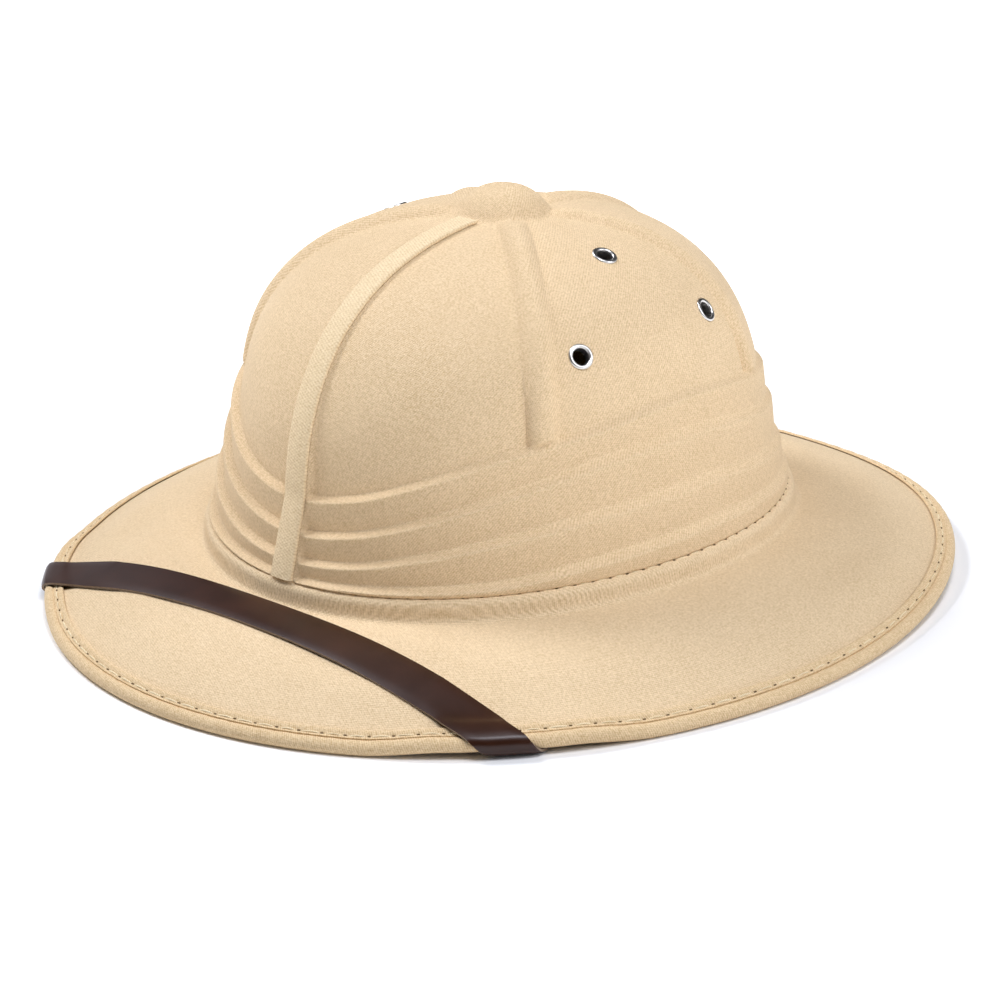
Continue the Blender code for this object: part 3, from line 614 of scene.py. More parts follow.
@dataclass(frozen=True)
class Twill:
    """Cotton-blend twill over a moulded form: matt, finely ribbed on the slant, with a bloom of loose fibres.

    The light colour is a thread's top and the shade the gap between two threads. The lean is the
    diagonal's slant in degrees, and the pitch is the distance between two diagonals.
    """

    name: str
    light: str
    shade: str
    lean: float
    pitch: float = 0.72 * MM
    relief: float = 0.17 * MM
    mottle: float = 0.16
    crossing: float = 62.0
    pick_pitch: float = 0.9
    pick_share: float = 0.36
    fuzz_scale: float = 1500.0
    fuzz_share: float = 0.52
    mottle_scale: float = 38.0
    bloom: str = "#fff3dc"

    def make(self) -> bpy.types.Material:
        """Return the cloth's material, which reads the piece's UV map in metres.

        Returns:
            The material.
        """
        made, tree, shader = new_material(self.name)
        uv = add_node(tree, "ShaderNodeUVMap", uv_map="cloth").outputs["UV"]
        # The real diagonal is about 0.45 mm and is drawn a little coarser so that it shows
        turned = add_node(tree, "ShaderNodeMapping", {
            "Vector": uv, "Rotation": (0, 0, math.radians(self.lean))})
        crossed = add_node(tree, "ShaderNodeMapping", {
            "Vector": uv, "Rotation": (0, 0, math.radians(self.lean + self.crossing))})
        ridge = add_node(tree, "ShaderNodeTexWave", {
            "Vector": turned.outputs[0], "Scale": WAVE_IN_A_METRE / self.pitch,
            "Distortion": 1.1, "Detail": 1.0, "Detail Scale": 1.2},
            wave_type="BANDS", bands_direction="X", wave_profile="SIN")
        pick = add_node(tree, "ShaderNodeTexWave", {
            "Vector": crossed.outputs[0], "Scale": WAVE_IN_A_METRE / (self.pick_pitch * self.pitch),
            "Distortion": 1.6, "Detail": 1.0, "Detail Scale": 1.2},
            wave_type="BANDS", bands_direction="X", wave_profile="SIN")
        weave = add_node(tree, "ShaderNodeMix", {
            "Factor": self.pick_share, "A": ridge.outputs["Fac"], "B": pick.outputs["Fac"]},
            data_type="FLOAT")
        place = add_node(tree, "ShaderNodeTexCoord").outputs["Object"]
        # Loose fibre ends, a pixel or two wide in the picture, break up the even ribs
        loose = add_node(tree, "ShaderNodeTexNoise", {
            "Vector": place, "Scale": self.fuzz_scale, "Detail": 1.0})
        fuzz = add_node(tree, "ShaderNodeMapRange", {
            "Value": loose.outputs["Fac"], "From Min": 0.30, "From Max": 0.70})
        # Handling and uneven dye leave cloudy patches of 2 to 3 cm
        mottle = add_node(tree, "ShaderNodeTexNoise", {
            "Vector": place, "Scale": self.mottle_scale, "Detail": 4.0})
        threads = add_node(tree, "ShaderNodeMix", {
            "Factor": self.fuzz_share, "A": weave.outputs[0], "B": fuzz.outputs[0]}, data_type="FLOAT")
        tone = add_node(tree, "ShaderNodeMix", {
            "Factor": self.mottle, "A": threads.outputs[0], "B": mottle.outputs["Fac"]}, data_type="FLOAT")
        colour = add_node(tree, "ShaderNodeMix", {
            "Factor": tone.outputs[0], "A": linear(self.shade), "B": linear(self.light)}, data_type="RGBA")
        rough = add_node(tree, "ShaderNodeMapRange", {
            "Value": fuzz.outputs[0], "To Min": 0.78, "To Max": 0.96})
        bump = add_node(tree, "ShaderNodeBump", {
            "Height": threads.outputs[0], "Strength": 0.8, "Distance": self.relief})
        tree.links.new(colour.outputs["Result"], shader.inputs["Base Color"])
        tree.links.new(rough.outputs[0], shader.inputs["Roughness"])
        tree.links.new(bump.outputs[0], shader.inputs["Normal"])
        shader.inputs["Specular IOR Level"].default_value = 0.22
        shader.inputs["Sheen Weight"].default_value = 0.18
        shader.inputs["Sheen Roughness"].default_value = 0.45
        shader.inputs["Sheen Tint"].default_value = linear(self.bloom)
        return made


@dataclass(frozen=True)
class Leather:
    """Finished cowhide strap: dark brown, smooth and waxed, with a close fine grain and a soft gloss."""

    name: str = "waxed_brown_leather"
    deep: str = "#1c0a02"
    warm: str = "#401c04"
    glaze: str = "#e6dcec"
    grain: float = 0.9 * MM

    def make(self) -> bpy.types.Material:
        """Return the leather's face.

        Returns:
            The material.
        """
        made, tree, shader = new_material(self.name)
        place = add_node(tree, "ShaderNodeTexCoord").outputs["Object"]
        # The skin's cells, with wax pressed in their furrows, and the patchy dye under it
        cells = add_node(tree, "ShaderNodeTexVoronoi", {"Vector": place, "Scale": 1.0 / self.grain},
                         feature="DISTANCE_TO_EDGE")
        clouds = add_node(tree, "ShaderNodeTexNoise", {"Vector": place, "Scale": 60.0, "Detail": 5.0})
        fine = add_node(tree, "ShaderNodeTexNoise", {"Vector": place, "Scale": 1400.0, "Detail": 3.0})
        colour = add_node(tree, "ShaderNodeMix", {
            "Factor": clouds.outputs["Fac"], "A": linear(self.deep), "B": linear(self.warm)},
            data_type="RGBA")
        height = add_node(tree, "ShaderNodeMix", {
            "Factor": 0.5, "A": cells.outputs["Distance"], "B": fine.outputs["Fac"]}, data_type="FLOAT")
        bump = add_node(tree, "ShaderNodeBump", {
            "Height": height.outputs[0], "Strength": 0.22, "Distance": 0.05 * MM})
        rough = add_node(tree, "ShaderNodeMapRange", {
            "Value": clouds.outputs["Fac"], "To Min": 0.30, "To Max": 0.44})
        tree.links.new(colour.outputs["Result"], shader.inputs["Base Color"])
        tree.links.new(rough.outputs[0], shader.inputs["Roughness"])
        tree.links.new(bump.outputs[0], shader.inputs["Normal"])
        shader.inputs["Specular IOR Level"].default_value = 0.36
        shader.inputs["Coat Weight"].default_value = 0.14
        shader.inputs["Coat Roughness"].default_value = 0.24
        shader.inputs["Coat Tint"].default_value = linear(self.glaze)
        return made


@dataclass(frozen=True)
class RawEdge:
    """Cut side of the strap: undyed fibres, matt and greyish brown."""

    name: str = "strap_raw_edge"
    light: str = "#a08c78"
    dark: str = "#5d4a3c"

    def make(self) -> bpy.types.Material:
        """Return the cut edge's material.

        Returns:
            The material.
        """
        made, tree, shader = new_material(self.name)
        place = add_node(tree, "ShaderNodeTexCoord").outputs["Object"]
        fibres = add_node(tree, "ShaderNodeTexNoise", {"Vector": place, "Scale": 900.0, "Detail": 4.0})
        colour = add_node(tree, "ShaderNodeMix", {
            "Factor": fibres.outputs["Fac"], "A": linear(self.dark), "B": linear(self.light)},
            data_type="RGBA")
        bump = add_node(tree, "ShaderNodeBump", {
            "Height": fibres.outputs["Fac"], "Strength": 0.5, "Distance": 0.1 * MM})
        tree.links.new(colour.outputs["Result"], shader.inputs["Base Color"])
        tree.links.new(bump.outputs[0], shader.inputs["Normal"])
        shader.inputs["Roughness"].default_value = 0.9
        return made


@dataclass(frozen=True)
class Nickel:
    """Bright nickel plate on a pressed ring: silvery, with soft reflections and faint drawing marks."""

    name: str = "bright_nickel"
    tone: str = "#dcd9d6"

    def make(self) -> bpy.types.Material:
        """Return the plated metal's material.

        Returns:
            The material.
        """
        made, tree, shader = new_material(self.name)
        place = add_node(tree, "ShaderNodeTexCoord").outputs["Object"]
        marks = add_node(tree, "ShaderNodeTexNoise", {"Vector": place, "Scale": 700.0, "Detail": 3.0})
        rough = add_node(tree, "ShaderNodeMapRange", {
            "Value": marks.outputs["Fac"], "To Min": 0.24, "To Max": 0.38})
        tree.links.new(rough.outputs[0], shader.inputs["Roughness"])
        shader.inputs["Base Color"].default_value = linear(self.tone)
        shader.inputs["Metallic"].default_value = 1.0
        return made


@dataclass(frozen=True)
class Thread:
    """Spun sewing thread: matt, with a tight twist that reads as fine slanted lines."""

    name: str
    light: str
    shade: str
    twist_pitch: float = 0.35 * MM

    def make(self) -> bpy.types.Material:
        """Return the thread's material.

        Returns:
            The material.
        """
        made, tree, shader = new_material(self.name)
        place = add_node(tree, "ShaderNodeTexCoord").outputs["Object"]
        twist = add_node(tree, "ShaderNodeTexWave", {
            "Vector": place, "Scale": WAVE_IN_A_METRE / self.twist_pitch, "Distortion": 0.8},
            bands_direction="DIAGONAL")
        colour = add_node(tree, "ShaderNodeMix", {
            "Factor": twist.outputs["Fac"], "A": linear(self.shade), "B": linear(self.light)},
            data_type="RGBA")
        bump = add_node(tree, "ShaderNodeBump", {
            "Height": twist.outputs["Fac"], "Strength": 0.4, "Distance": 0.05 * MM})
        tree.links.new(colour.outputs["Result"], shader.inputs["Base Color"])
        tree.links.new(bump.outputs[0], shader.inputs["Normal"])
        shader.inputs["Roughness"].default_value = 0.85
        return made


def finish_mesh(name: str, mesh: bpy.types.Mesh, finishes: list[bpy.types.Material]) -> bpy.types.Object:
    """Return a scene object for a mesh, with its finishes and smooth shading.

    Args:
        name: the piece's name.
        mesh: its mesh, in the hat's own frame.
        finishes: its materials, used where the mesh has none yet.

    Returns:
        The object, at the origin and unturned.
    """
    piece = bpy.data.objects.new(name, mesh)
    bpy.context.scene.collection.objects.link(piece)
    if not mesh.materials:
        for made in finishes:
            mesh.materials.append(made)
    mesh.shade_smooth()
    mesh.set_sharp_from_angle(angle=SHARP_FROM)
    return piece


def loft(name: str, rings: Array, left: Array, right: Array, ends: Ends) -> bpy.types.Mesh:
    """Return a closed mesh over rings of points, with a UV map in metres.

    Args:
        name: the mesh's name.
        rings: points, by ring, place round the ring, and axis.
        left: UV of each point, for the face after it.
        right: UV of each point's next neighbour, for the same face.
        ends: how the run of rings is closed.

    Returns:
        The mesh, with its faces pointing outwards.
    """
    count, around = rings.shape[:2]
    index = np.arange(count * around).reshape(count, around)
    upper, lower = index[:-1], index[1:]
    left_u, right_u, left_l, right_l = left[:-1], right[:-1], left[1:], right[1:]
    if ends is Ends.LOOP:
        upper, lower = index, np.roll(index, -1, axis=0)
        left_u, right_u = left, right
        left_l, right_l = np.roll(left, -1, axis=0), np.roll(right, -1, axis=0)
    beside = np.roll(lower, -1, axis=1), np.roll(upper, -1, axis=1)
    quads = np.stack([upper, lower, *beside], -1).reshape(-1, 4)
    uvs = np.stack([left_u, left_l, right_l, right_u], 2).reshape(-1, 2)
    faces = quads.tolist()
    if ends is Ends.FLAT:
        faces += [index[0].tolist(), index[-1][::-1].tolist()]
        uvs = np.concatenate([uvs, left[0], left[-1][::-1]])
    mesh = bpy.data.meshes.new(name)
    mesh.from_pydata(rings.reshape(-1, 3).tolist(), [], faces)
    layer = mesh.uv_layers.new(name="cloth")
    layer.data.foreach_set("uv", uvs.astype(np.float32).ravel())
    bm = bmesh.new()
    bm.from_mesh(mesh)
    if ends is Ends.POLES:
        bmesh.ops.remove_doubles(bm, verts=bm.verts[:], dist=1e-7)
    bmesh.ops.recalc_face_normals(bm, faces=bm.faces[:])
    bm.to_mesh(mesh)
    bm.free()
    return mesh


@dataclass
class Crown:
    """The moulded crown: dome, six ribs, round boss and four lapped pleats round its foot."""

    shape: HatShape
    rib_angles: tuple[float, ...] = tuple(math.radians(a) for a in (0.0, 55.0, 119.0, 180.0, 241.0, 305.0))
    rib_half_width: float = 4.9 * MM
    rib_heights: tuple[float, ...] = (0.8 * MM, 2.9 * MM, 2.4 * MM, 2.2 * MM, 1.6 * MM, 2.9 * MM)
    rib_edge: float = 1.12
    rib_softness: float = 1.15
    rib_gap_share: float = 0.42
    crease_width: float = 0.75 * MM
    crease_depth: float = 0.55 * MM
    tape_flat: float = 4.3 * MM
    tape_flat_fade: float = 1.3 * MM
    boss_radius: float = 16.5 * MM
    boss_height: float = 8.3 * MM
    boss_fullness: float = 3.2
    boss_softness: float = 1.3
    ribs_start: float = 0.80
    ribs_rise: float = 0.6
    lip_zone: float = 1.7 * MM
    lip_half: float = 1.05 * MM
    side_looseness: float = 0.75
    least_lap: float = 5.0 * MM
    tuck: float = 1.9 * MM
    tuck_reach: float = 32.0 * MM
    tuck_slope: float = 1.35
    tuck_knee: float = 0.4
    tuck_power: float = 2.4
    tuck_back: float = 0.3
    lump_height: float = 0.10 * MM
    eyelet_hole: float = 3.5 * MM
    dip_depth: float = 0.6 * MM
    dip_reach: float = 5.0 * MM
    rib_columns: int = 10
    panel_columns: int = 40
    boss_rows: int = 15
    dome_rows: int = 46
    lip_rows: int = 9
    inner_rows: int = 18

    @property
    def rib_reach(self) -> float:
        """Return how far from a rib's middle its own close columns go."""
        return 1.35 * self.rib_half_width

    def columns(self) -> tuple[Array, Array, Array]:
        """Return each column's rib, its fixed distance from the rib, and its share of the panel after it.

        Returns:
            Three arrays, by column. The share is 0 on a rib's own columns.
        """
        reach = self.rib_reach
        across = np.linspace(-reach, reach, 2 * self.rib_columns + 1)
        ribs, offsets, shares = [], [], []
        for rib in range(len(self.rib_angles)):
            ribs += [rib] * (len(across) + self.panel_columns)
            offsets += list(across) + [reach] * self.panel_columns
            shares += [0.0] * len(across)
            shares += [(k + 1) / (self.panel_columns + 1) for k in range(self.panel_columns)]
        return np.array(ribs), np.array(offsets), np.array(shares)

    def column_angles(self, spread: Array) -> Array:
        """Return the columns' angles where the dome's oval has a given spread.

        Args:
            spread: the oval's spread, by row and column.

        Returns:
            Angles of the same shape, growing all the way round.
        """
        ribs, offsets, shares = self.columns()
        angles = np.array(self.rib_angles)
        here = angles[ribs]
        after = np.append(angles[1:], TAU)[ribs]
        before = np.append(angles[-1] - TAU, angles[:-1])[ribs]

        def turned(centre: Array, offset: Array, gap: Array) -> Array:
            """Return the angle at a distance from a rib's middle.

            Args:
                centre: the rib's angle.
                offset: the distance along the oval.
                gap: the turn to the next rib on that side.

            Returns:
                The angle, kept short of the middle of the panel.
            """
            limit = self.rib_gap_share * gap * np.abs(offset) / self.rib_reach
            speed = spread * np.hypot(self.shape.dome_half_width * np.cos(centre),
                                      self.shape.dome_half_length * np.sin(centre))
            return centre + np.sign(offset) * np.minimum(np.abs(offset) / np.maximum(speed, 1e-6), limit)

        on_rib = turned(here, offsets, np.where(offsets > 0.0, after - here, here - before))
        low = turned(here, offsets, after - here)
        high = turned(after, -offsets, after - here)
        return np.where(shares == 0.0, on_rib, low + (high - low) * shares)

    def side_softness(self, angle: Array) -> Array:
        """Return how much wider the lips are towards the sides, where the laps lie looser."""
        return 1.0 + self.side_looseness * np.sin(np.clip(self.shape.around(angle), 0.0, np.pi)) ** 2

    def frontness(self, angle: Array) -> Array:
        """Return 1 at the front, where the laps are tightest, easing to 0 at the back."""
        return np.cos(0.5 * self.shape.around(angle)) ** 2

    def drawn_in(self, angle: Array) -> Array:
        """Return how deep the wall is tucked in behind a lap."""
        return self.tuck * (self.tuck_back + (1.0 - self.tuck_back) * self.frontness(angle))

    def tuck_above(self, angle: Array, height: Array) -> Array:
        """Return how far the wall is drawn in above the first lap, straight at first and then easing out.

        Args:
            angle: angles around the hat.
            height: heights above the seam.

        Returns:
            Distances towards the middle.
        """
        up = np.clip((height - self.shape.lips(angle)[0]) / self.tuck_reach, 0.0, 1.0)
        straight = 1.0 - self.tuck_slope * up
        at_knee = 1.0 - self.tuck_slope * self.tuck_knee
        eased = at_knee * np.clip((1.0 - up) / (1.0 - self.tuck_knee), 0.0, 1.0) ** self.tuck_power
        return self.drawn_in(angle) * np.where(up < self.tuck_knee, straight, eased)

    def pleats(self, angle: Array, height: Array) -> Array:
        """Return the stepped widening of the foot: each lap is a shallow roll, tucked in above the next.

        Args:
            angle: angles around the hat.
            height: heights above the seam.

        Returns:
            Distances outside the evenly widened wall.
        """
        shape = self.shape
        lips = shape.lips(angle)
        front = self.frontness(angle)
        swell = shape.pleat_lip * (0.6 + 0.7 * front)
        half = self.lip_half * self.side_softness(angle)
        # The four steps share what the tuck and the front's flare have taken away
        step = shape.pleat_step + (self.drawn_in(angle) + shape.wall_flare * front) / len(lips)
        total = -self.tuck_above(angle, height) - shape.widening(angle, height, 0.0) * front
        for k, lip in enumerate(lips):
            floor = lips[k + 1] if k + 1 < len(lips) else np.zeros_like(lip)
            below = lip - height
            rise = ease((below + half) / (2.0 * half))
            band = np.maximum(lip - floor, self.least_lap)
            fade = 1.0 - np.clip((below - 0.4 * half) / band, 0.0, 1.0) ** 1.7
            total = total + rise * (step + swell * fade)
        return total

    def rib(self, offset: Array, share: Array, full: Array) -> Array:
        """Return a rib's relief at a distance from its middle: a soft ridge above that flattens below.

        Args:
            offset: distances from the rib's middle.
            share: heights as shares of the dome's.
            full: the rib's full height.

        Returns:
            Distances outside the panel.
        """
        away = np.clip(np.abs(offset) / (self.rib_edge * self.rib_half_width), 0.0, 1.0)
        power = 2.0 + 0.8 * ease((0.95 - share) / 0.4)
        return full * (1.0 - away**power) ** self.rib_softness

    def crease(self, angle: Array, offset: Array, share: Array) -> Array:
        """Return the crease that runs down the front side of a side rib, deeper towards the pleats.

        Args:
            angle: angles around the hat.
            offset: distances from the rib's middle.
            share: heights as shares of the dome's.

        Returns:
            Depths inside the panel.
        """
        front = np.where(np.sin(angle) > 0.0, -1.0, 1.0)
        away = (offset * front - 1.05 * self.rib_half_width) / self.crease_width
        depth = self.crease_depth * ease((0.80 - share) / 0.35)
        return depth * np.exp(-away**2)

    def relief(self, angle: Array, height: Array, spread: Array, rib: Array, offset: Array) -> Array:
        """Return how far the crown's outer face stands outside the plain dome.

        Args:
            angle: angles around the hat.
            height: heights above the seam.
            spread: the oval's spread there.
            rib: the number of the rib that each column belongs to.
            offset: the distance from that rib's middle.

        Returns:
            The distance outside the plain dome.
        """
        shape = self.shape
        reach = np.hypot(shape.dome_half_width * spread * np.sin(angle),
                         shape.dome_half_length * spread * np.cos(angle))
        first = shape.lips(angle)[0]
        share = height / shape.dome_height
        steps = shape.widening(angle, height, 0.0) + self.pleats(angle, height)
        even = shape.widening(angle, height, 4.0)
        # The tape lies on an even wall, so the steps fade out under it
        clear = ease((np.abs(offset) - self.tape_flat) / self.tape_flat_fade)
        front = rib == 0
        steps = np.where(front, even + (steps - even) * clear, steps)
        over = np.where(front, 1.0, ease((height - first + 0.4 * MM) / (2.0 * MM)))
        near_boss = ease((reach / self.boss_radius - self.ribs_start) / self.ribs_rise)
        full = np.array(self.rib_heights)[rib]
        ridge = self.rib(offset, share, full) * over * near_boss
        fold = np.where(front, 0.0, self.crease(angle, offset, share)) * over
        on_boss = np.clip(reach / self.boss_radius, 0.0, 1.0)
        boss = self.boss_height * (1.0 - on_boss**self.boss_fullness) ** self.boss_softness
        # Two slow waves keep the hand-laid cloth from looking turned on a lathe
        lumps = np.sin(3.0 * angle + 60.0 * height) + np.sin(7.0 * angle - 95.0 * height + 1.0)
        lumps = self.lump_height * lumps * ease(reach / (2.0 * self.boss_radius))
        return steps + ridge - fold + boss + lumps

    def eyelet_dips(self, points: Array) -> Array:
        """Return how far the cloth is pressed in round the eyelets.

        Args:
            points: points of the crown's outer face.

        Returns:
            The depth at each point.
        """
        dip = np.zeros(points.shape[:-1])
        for side in Side:
            for place in EYELET_PLACES:
                middle = eyelet_frame(self.shape, place, side)[0]
                away = np.linalg.norm(points - middle, axis=-1)
                dip = dip + self.dip_depth * np.exp(-(away / self.dip_reach) ** 2)
        return dip

    def row_heights(self, angle: Array) -> Array:
        """Return the heights of the rows under the boss, by row and column.

        Args:
            angle: angles of the columns, in one row or in all of them.

        Returns:
            Heights above the seam.
        """
        shape, zone = self.shape, self.lip_zone
        rows = []
        start = 1.25 * self.boss_radius / (0.5 * (shape.dome_half_length + shape.dome_half_width))
        turn_start = math.asin(start ** (shape.dome_power / 2.0))
        plan: list[tuple[int, int]] = [(-1, self.dome_rows)]
        for k in range(4):
            plan += [(2 * k, self.lip_rows), (2 * k + 1, self.lip_rows)]
        total = sum(n for _, n in plan)
        angle = np.broadcast_to(angle, (total, angle.shape[-1]))
        lips = shape.lips(angle)
        foot = shape.seat_gap + FOOT_ROWS[0].above
        row = 0
        for kind, count in plan:
            for step in range(count):
                here = lips[:, row]
                t = step / count
                if kind < 0:
                    end = np.arccos(((here[0] + zone) / shape.dome_height) ** (shape.dome_power / 2.0))
                    turn = turn_start + (end - turn_start) * t
                    rows.append(shape.dome_height * np.cos(turn) ** (2.0 / shape.dome_power))
                else:
                    k = kind // 2
                    under = np.minimum(zone, 0.5 * (here[k] - foot)) if k == 3 else zone
                    top, low = here[k] + zone, here[k] - under
                    if kind % 2:
                        top, low = low, (here[k + 1] + zone if k < 3 else foot + 0.0 * here[k])
                    rows.append(top + (low - top) * t)
                row += 1
        return np.array(rows)

    def mesh(self) -> bpy.types.Mesh:
        """Return the crown's shell, open at its foot, with a UV map laid out panel by panel.

        Returns:
            The mesh, without its eyelet holes.
        """
        shape = self.shape
        ribs, offsets, shares = self.columns()
        offsets = np.where(shares == 0.0, offsets, 3.0 * self.rib_half_width)
        mean = 0.5 * (shape.dome_half_length + shape.dome_half_width)
        outer, angles = [], []
        for reach in np.linspace(0.0, 1.2, self.boss_rows):
            spread = np.full(len(ribs), max(reach, 1e-9) * self.boss_radius / mean)
            angle = self.column_angles(spread)
            height = shape.dome_height * (1.0 - spread**shape.dome_power) ** (1.0 / shape.dome_power)
            lift = self.relief(angle, height, spread, ribs, offsets)
            ring = shape.dome(angle, height, lift)
            outer.append(ring if reach > 0.0 else np.broadcast_to(ring.mean(axis=0), ring.shape))
            angles.append(angle)
        angle = self.column_angles(np.ones(len(ribs)))
        for _ in range(4):
            height = self.row_heights(angle)
            angle = self.column_angles(shape.spread(angle, height))
        lift = self.relief(angle, height, shape.spread(angle, height), ribs, offsets)
        points = shape.dome(angle, height, lift)
        outward = unit(shape.dome(angle, height, lift + MM) - points)
        points = points - outward * self.eyelet_dips(points)[..., None]
        outer += list(points)
        angles += list(angle)
        last = angle[-1]
        for row in FOOT_ROWS:
            high = np.full(len(ribs), shape.seat_gap + row.above)
            lift = self.relief(last, high, shape.spread(last, high), ribs, offsets)
            outer.append(shape.dome(last, high, lift - row.drawn_in))
            angles.append(last)
        inner_from = shape.collar_height + 1.5 * MM
        inner_rise = shape.dome_height - inner_from
        turns = np.linspace(0.0, math.pi / 2.0, self.inner_rows)
        highs = [shape.seat_gap] + [inner_from + inner_rise * math.sin(turn) ** 0.9 for turn in turns]
        for high in highs:
            level = np.full(len(ribs), high)
            ring = shape.dome(last, level, shape.widening(last, level, shape.inner_steps) - shape.crown_wall)
            if high == highs[-1]:
                ring = np.broadcast_to(ring.mean(axis=0), ring.shape)
            outer.append(ring)
            angles.append(last)
        rings, turned = np.array(outer), np.array(angles)
        left, right = self.panel_map(rings, turned, ribs)
        return loft("moulded_crown", rings, left, right, Ends.POLES)

    def panel_map(self, rings: Array, angles: Array, ribs: Array) -> tuple[Array, Array]:
        """Return the cloth's UV, measured across each panel from its middle and down from the top.

        Args:
            rings: the crown's points.
            angles: the angle of each of them.
            ribs: the number of the rib that each column belongs to.

        Returns:
            UV of each point and of its next neighbour.
        """
        ribs_at = np.array(self.rib_angles)
        centre_col = self.rib_columns
        per_rib = 2 * self.rib_columns + 1 + self.panel_columns
        local = np.arange(len(ribs)) % per_rib
        panel = np.where(local < centre_col, ribs - 1, ribs) % len(ribs_at)
        start = ribs_at[panel]
        end = np.append(ribs_at[1:], TAU)[panel]
        middle = 0.5 * (start + end)
        wrapped = np.where((panel == len(ribs_at) - 1) & (ribs == 0), TAU, 0.0)
        here = angles + wrapped
        after = np.roll(angles, -1, axis=1)
        after[:, -1] += TAU
        after = after + wrapped
        apex = rings[0, 0]
        radius = np.hypot(rings[..., 0] - apex[0], rings[..., 1] - apex[1])
        down = np.concatenate([[np.zeros(rings.shape[1])],
                               np.cumsum(np.linalg.norm(np.diff(rings, axis=0), axis=-1), axis=0)])
        next_radius, next_down = np.roll(radius, -1, axis=1), np.roll(down, -1, axis=1)
        left = np.stack([(here - middle) * radius, -down], -1)
        right = np.stack([(after - middle) * next_radius, -next_down], -1)
        return left, right

    def build(self, cloth: bpy.types.Material) -> bpy.types.Object:
        """Return the crown with its eyelet holes cut.

        Args:
            cloth: the cloth's material.

        Returns:
            The finished piece.
        """
        solid = finish_mesh("crown_uncut", self.mesh(), [cloth])
        cutters = bpy.data.collections.new("eyelet_cutters")
        for side in Side:
            for place in EYELET_PLACES:
                middle, matrix = eyelet_frame(self.shape, place, side)
                bm = bmesh.new()
                bmesh.ops.create_cone(bm, cap_ends=True, segments=40, radius1=self.eyelet_hole,
                                      radius2=self.eyelet_hole, depth=12.0 * MM)
                bm.transform(matrix)
                mesh = bpy.data.meshes.new("eyelet_cutter")
                bm.to_mesh(mesh)
                bm.free()
                cutters.objects.link(bpy.data.objects.new("eyelet_cutter", mesh))
        cut = solid.modifiers.new("eyelet_holes", "BOOLEAN")
        cut.operation, cut.operand_type, cut.solver = "DIFFERENCE", "COLLECTION", "MANIFOLD"
        cut.collection = cutters
        graph = bpy.context.evaluated_depsgraph_get()
        mesh = bpy.data.meshes.new_from_object(solid.evaluated_get(graph))
        for spent in [solid, *cutters.objects]:
            bpy.data.objects.remove(spent, do_unlink=True)
        bpy.data.collections.remove(cutters)
        return finish_mesh("moulded_crown", mesh, [cloth])


def eyelet_frame(shape: HatShape, place: EyeletPlace, side: Side) -> tuple[Array, Matrix]:
    """Return an eyelet's middle on the crown and the matrix that stands it on the cloth.

    Args:
        shape: the hat's sizes.
        place: the eyelet's place on a side panel.
        side: the side of the hat.

    Returns:
        The middle, and a matrix whose Z axis stands straight out of the cloth.
    """
    height = place.height * shape.dome_height
    spread = float(shape.curve_spread(height))
    behind = place.behind * shape.dome_half_length
    turn = (shape.apex_back * (1.0 - spread) - behind) / (shape.dome_half_length * spread)
    angle = math.acos(turn) * side.value
    middle = shape.dome(angle, height, 0.0)
    normal = Vector(shape.dome(angle, height, MM) - middle).normalized()
    turned = normal.to_track_quat("Z", "Y").to_matrix().to_4x4()
    return middle, Matrix.Translation(Vector(middle)) @ turned


